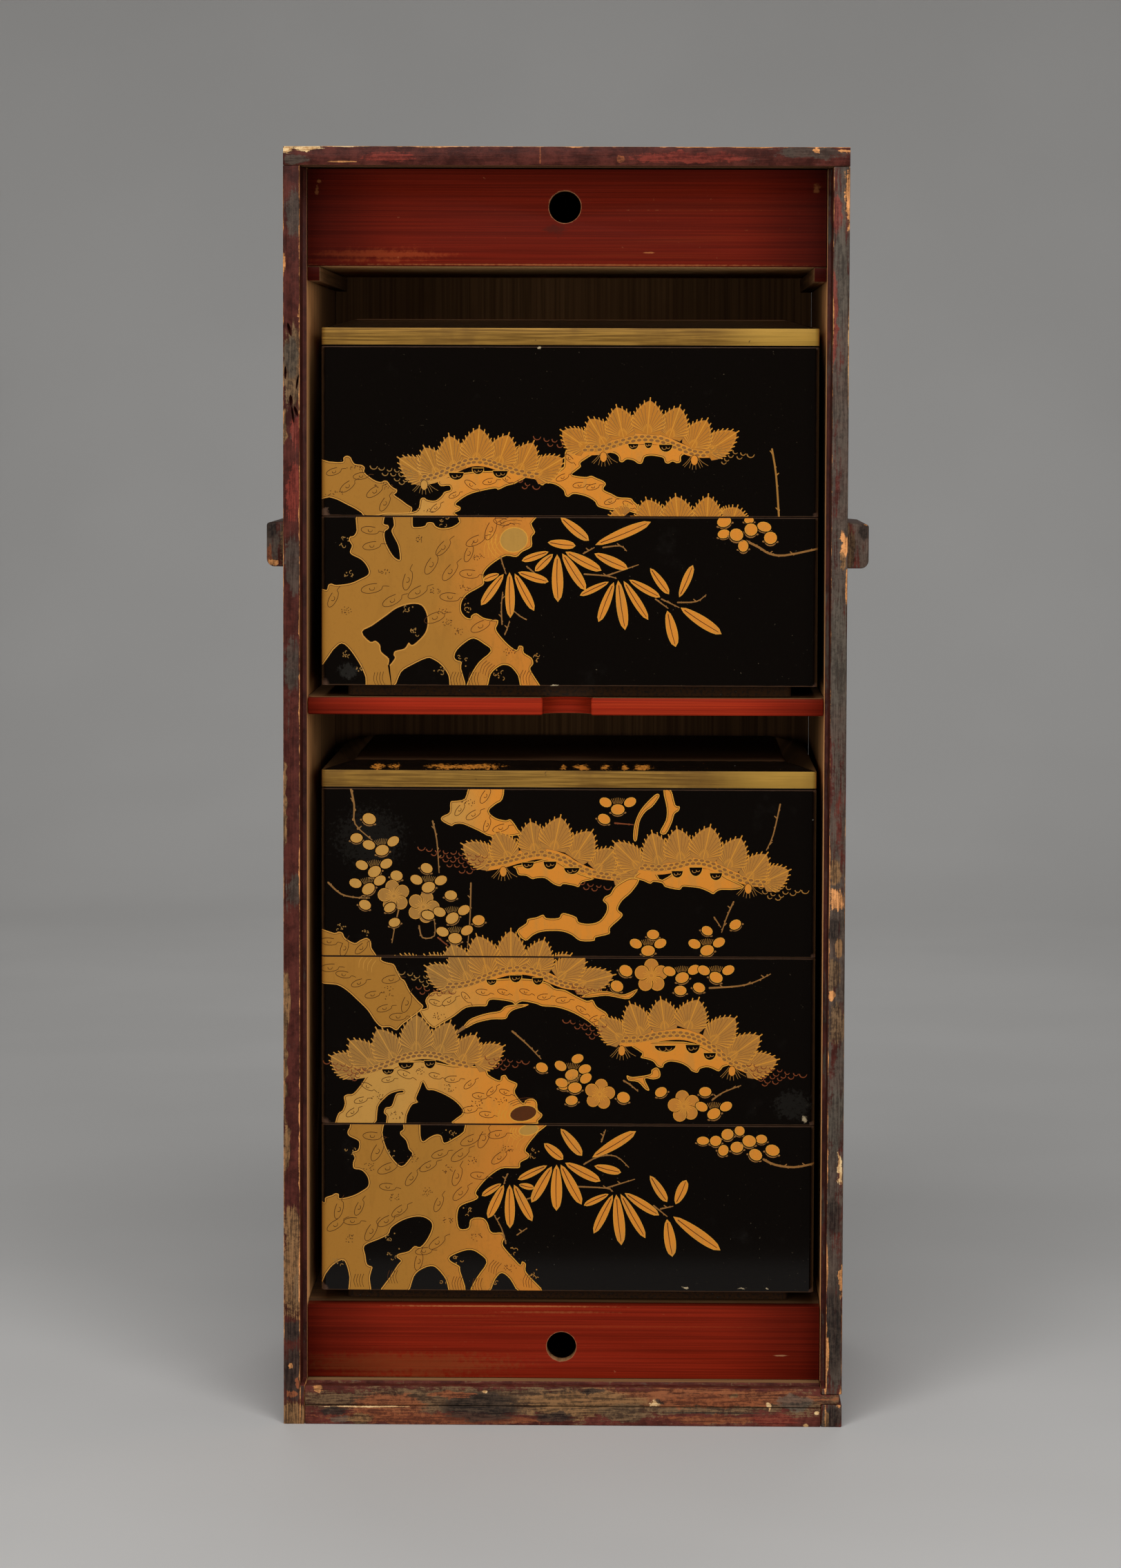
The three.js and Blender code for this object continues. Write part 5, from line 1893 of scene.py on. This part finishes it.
class FOODBOX_OT_lids(bpy.types.Operator):
    """Build the lids of both stacks"""

    bl_idname = "foodbox.lids"
    bl_label = "Lids"

    def execute(self, context):
        _, tiers, _ = settings()
        gold = rim_gold("lid_rim_gold")
        for node in ("lower_lid", "upper_lid"):
            low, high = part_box(node)
            piece = lid_piece(node + "_seen", low, high)
            rim_low, rim_high = low.z + tiers.lid_lip + 0.4 * MM, high.z - tiers.lid_rise

            def choose(middle, normal):
                inset = min(middle.x - low.x, high.x - middle.x, middle.y - low.y, high.y - middle.y)
                return 1 if inset < 12 * MM and abs(normal.z) < 0.6 and rim_low < middle.z < rim_high else 0

            marks = lid_marks() if node == "lower_lid" else []
            dress(piece, [black_lacquer(node + "_lacquer", (low, high), marks), gold], choose)
            settle(piece, node, "black_lacquer")
        return {"FINISHED"}


class FOODBOX_OT_studio(bpy.types.Operator):
    """Set up the camera, the pale floor and the soft lights"""

    bl_idname = "foodbox.studio"
    bl_label = "Studio"

    def execute(self, context):
        _, _, studio = settings()
        self.camera(context, studio)
        self.floor(studio)
        self.light("key_light", (0.0, -1.9, 2.2), (0.0, -0.13, 0.25), (1.9, 1.4), studio.key_power)
        self.light("left_light", (-1.15, -2.9, 0.75), (0.0, -0.13, 0.3), (1.0, 1.3), studio.fill_power, False)
        self.light("right_light", (1.15, -2.9, 0.75), (0.0, -0.13, 0.3), (1.0, 1.3), studio.fill_power, False)
        self.light("rear_light", (0.0, 2.5, 2.3), (0.0, 0.13, 0.3), (1.8, 1.2), studio.rear_power, False)
        world = bpy.data.worlds.new("studio")
        world.use_nodes = True
        background = world.node_tree.nodes["Background"]
        background.inputs["Color"].default_value = (1.0, 0.99, 0.97, 1.0)
        background.inputs["Strength"].default_value = studio.world_grey
        context.scene.world = world
        context.scene.view_settings.view_transform = "Standard"
        return {"FINISHED"}

    @staticmethod
    def camera(context, studio):
        """The camera, turned to the right by yaw, down by pitch and about its own line by roll."""
        yaw, pitch, roll = studio.camera_yaw, studio.camera_pitch, studio.camera_roll
        ahead = Vector((
            math.sin(yaw) * math.cos(pitch), math.cos(yaw) * math.cos(pitch), -math.sin(pitch),
        ))
        right = Vector((math.cos(yaw), -math.sin(yaw), 0.0))
        up = right.cross(ahead)
        across = math.cos(roll) * right + math.sin(roll) * up
        rise = -math.sin(roll) * right + math.cos(roll) * up
        data = bpy.data.cameras.new("camera")
        data.sensor_fit = "HORIZONTAL"
        data.sensor_width = 36.0
        data.lens = studio.focal_length
        data.clip_end = 60.0
        camera = bpy.data.objects.new("camera", data)
        context.scene.collection.objects.link(camera)
        turn = Matrix((across, rise, -ahead)).transposed().to_4x4()
        camera.matrix_world = Matrix.Translation(Vector(studio.camera_place)) @ turn
        context.scene.camera = camera

    @staticmethod
    def floor(studio):
        """The floor with its sweep, and its front part, which the black lacquer doesn't mirror."""
        paint = Paint("floor_paper")
        fibre = paint.noise(220.0, 4.0, 0.6)
        clouds = paint.noise(3.0, 2.0, 0.5)
        pale = tuple(studio.floor_colour)
        colour = paint.mix(tone(pale, 0.98), tone(pale, 1.02), paint.step(clouds, 0.35, 0.65))
        relief = paint.bump(fibre, 0.08, 0.0004)
        paper = paint.finish(colour=colour, roughness=0.72 + fibre * 0.15, normal=relief, specular=0.25)
        edge, width, wall_height, bend = -0.58, 9.0, 3.2, 1.2
        for name, near, far in (("floor", edge, 3.6), ("floor_front", -4.6, edge)):
            nothing_selected()
            bpy.ops.mesh.primitive_plane_add(size=1.0, location=(0.0, (near + far) / 2, 0.0))
            piece = bpy.context.object
            piece.name = piece.data.name = name
            piece.scale = (width, far - near, 1.0)
            bpy.ops.object.transform_apply(location=True, rotation=True, scale=True)
            if name == "floor":
                behind = Vector((0.0, far, 0.0))
                edit(piece, "EDGE")
                pick(piece, lambda line: all(abs(v.co.y - behind.y) < 0.1 for v in line.verts), "edges")
                bpy.ops.mesh.extrude_region_move(TRANSFORM_OT_translate={"value": (0.0, 0.0, wall_height)})
                pick(piece, lambda line: all((v.co - behind).yz.length < 0.1 for v in line.verts), "edges")
                bpy.ops.mesh.bevel(offset=bend, segments=24, affect="EDGES", clamp_overlap=False)
                smooth(piece, 40.0)
            else:
                piece.visible_glossy = False
            piece.data.materials.append(paper)

    @staticmethod
    def light(name, place, target, size, power, glossy=True):
        """A soft light at place, aimed at target. glossy says whether the lacquer mirrors it."""
        data = bpy.data.lights.new(name, "AREA")
        data.shape = "RECTANGLE"
        data.size, data.size_y = size
        data.energy = power
        light = bpy.data.objects.new(name, data)
        bpy.context.scene.collection.objects.link(light)
        light.location = place
        light.rotation_euler = (Vector(target) - Vector(place)).to_track_quat("-Z", "Y").to_euler()
        light.visible_glossy = glossy


class FOODBOX_PT_panel(bpy.types.Panel):
    """Settings and steps of the tiered food box"""

    bl_idname = "FOODBOX_PT_panel"
    bl_label = "Tiered Food Box"
    bl_space_type = "VIEW_3D"
    bl_region_type = "UI"
    bl_category = "Food Box"

    def draw(self, context):
        scene = context.scene
        for title, group in (("Case", scene.food_box_case), ("Tiers", scene.food_box_tiers),
                             ("Studio", scene.food_box_studio)):
            box = self.layout.box()
            box.label(text=title)
            for name in group.__annotations__:
                box.prop(group, name)
        for operator in OPERATORS:
            self.layout.operator(operator.bl_idname)


OPERATORS = (
    FOODBOX_OT_case, FOODBOX_OT_handles, FOODBOX_OT_drawers,
    FOODBOX_OT_tiers, FOODBOX_OT_lids, FOODBOX_OT_studio,
)
CLASSES = (StudioSettings, CaseSettings, TierSettings, *OPERATORS, FOODBOX_PT_panel)


def register():
    for cls in CLASSES:
        bpy.utils.register_class(cls)
    bpy.types.Scene.food_box_case = PointerProperty(type=CaseSettings)
    bpy.types.Scene.food_box_tiers = PointerProperty(type=TierSettings)
    bpy.types.Scene.food_box_studio = PointerProperty(type=StudioSettings)


def unregister():
    del bpy.types.Scene.food_box_studio
    del bpy.types.Scene.food_box_tiers
    del bpy.types.Scene.food_box_case
    for cls in reversed(CLASSES):
        bpy.utils.unregister_class(cls)


def main():
    """Builds everything in its order."""
    register()
    bpy.ops.foodbox.case()
    bpy.ops.foodbox.handles()
    bpy.ops.foodbox.drawers()
    bpy.ops.foodbox.tiers()
    bpy.ops.foodbox.lids()
    bpy.ops.foodbox.studio()
    nothing_selected()


if __name__ == "__main__":
    main()
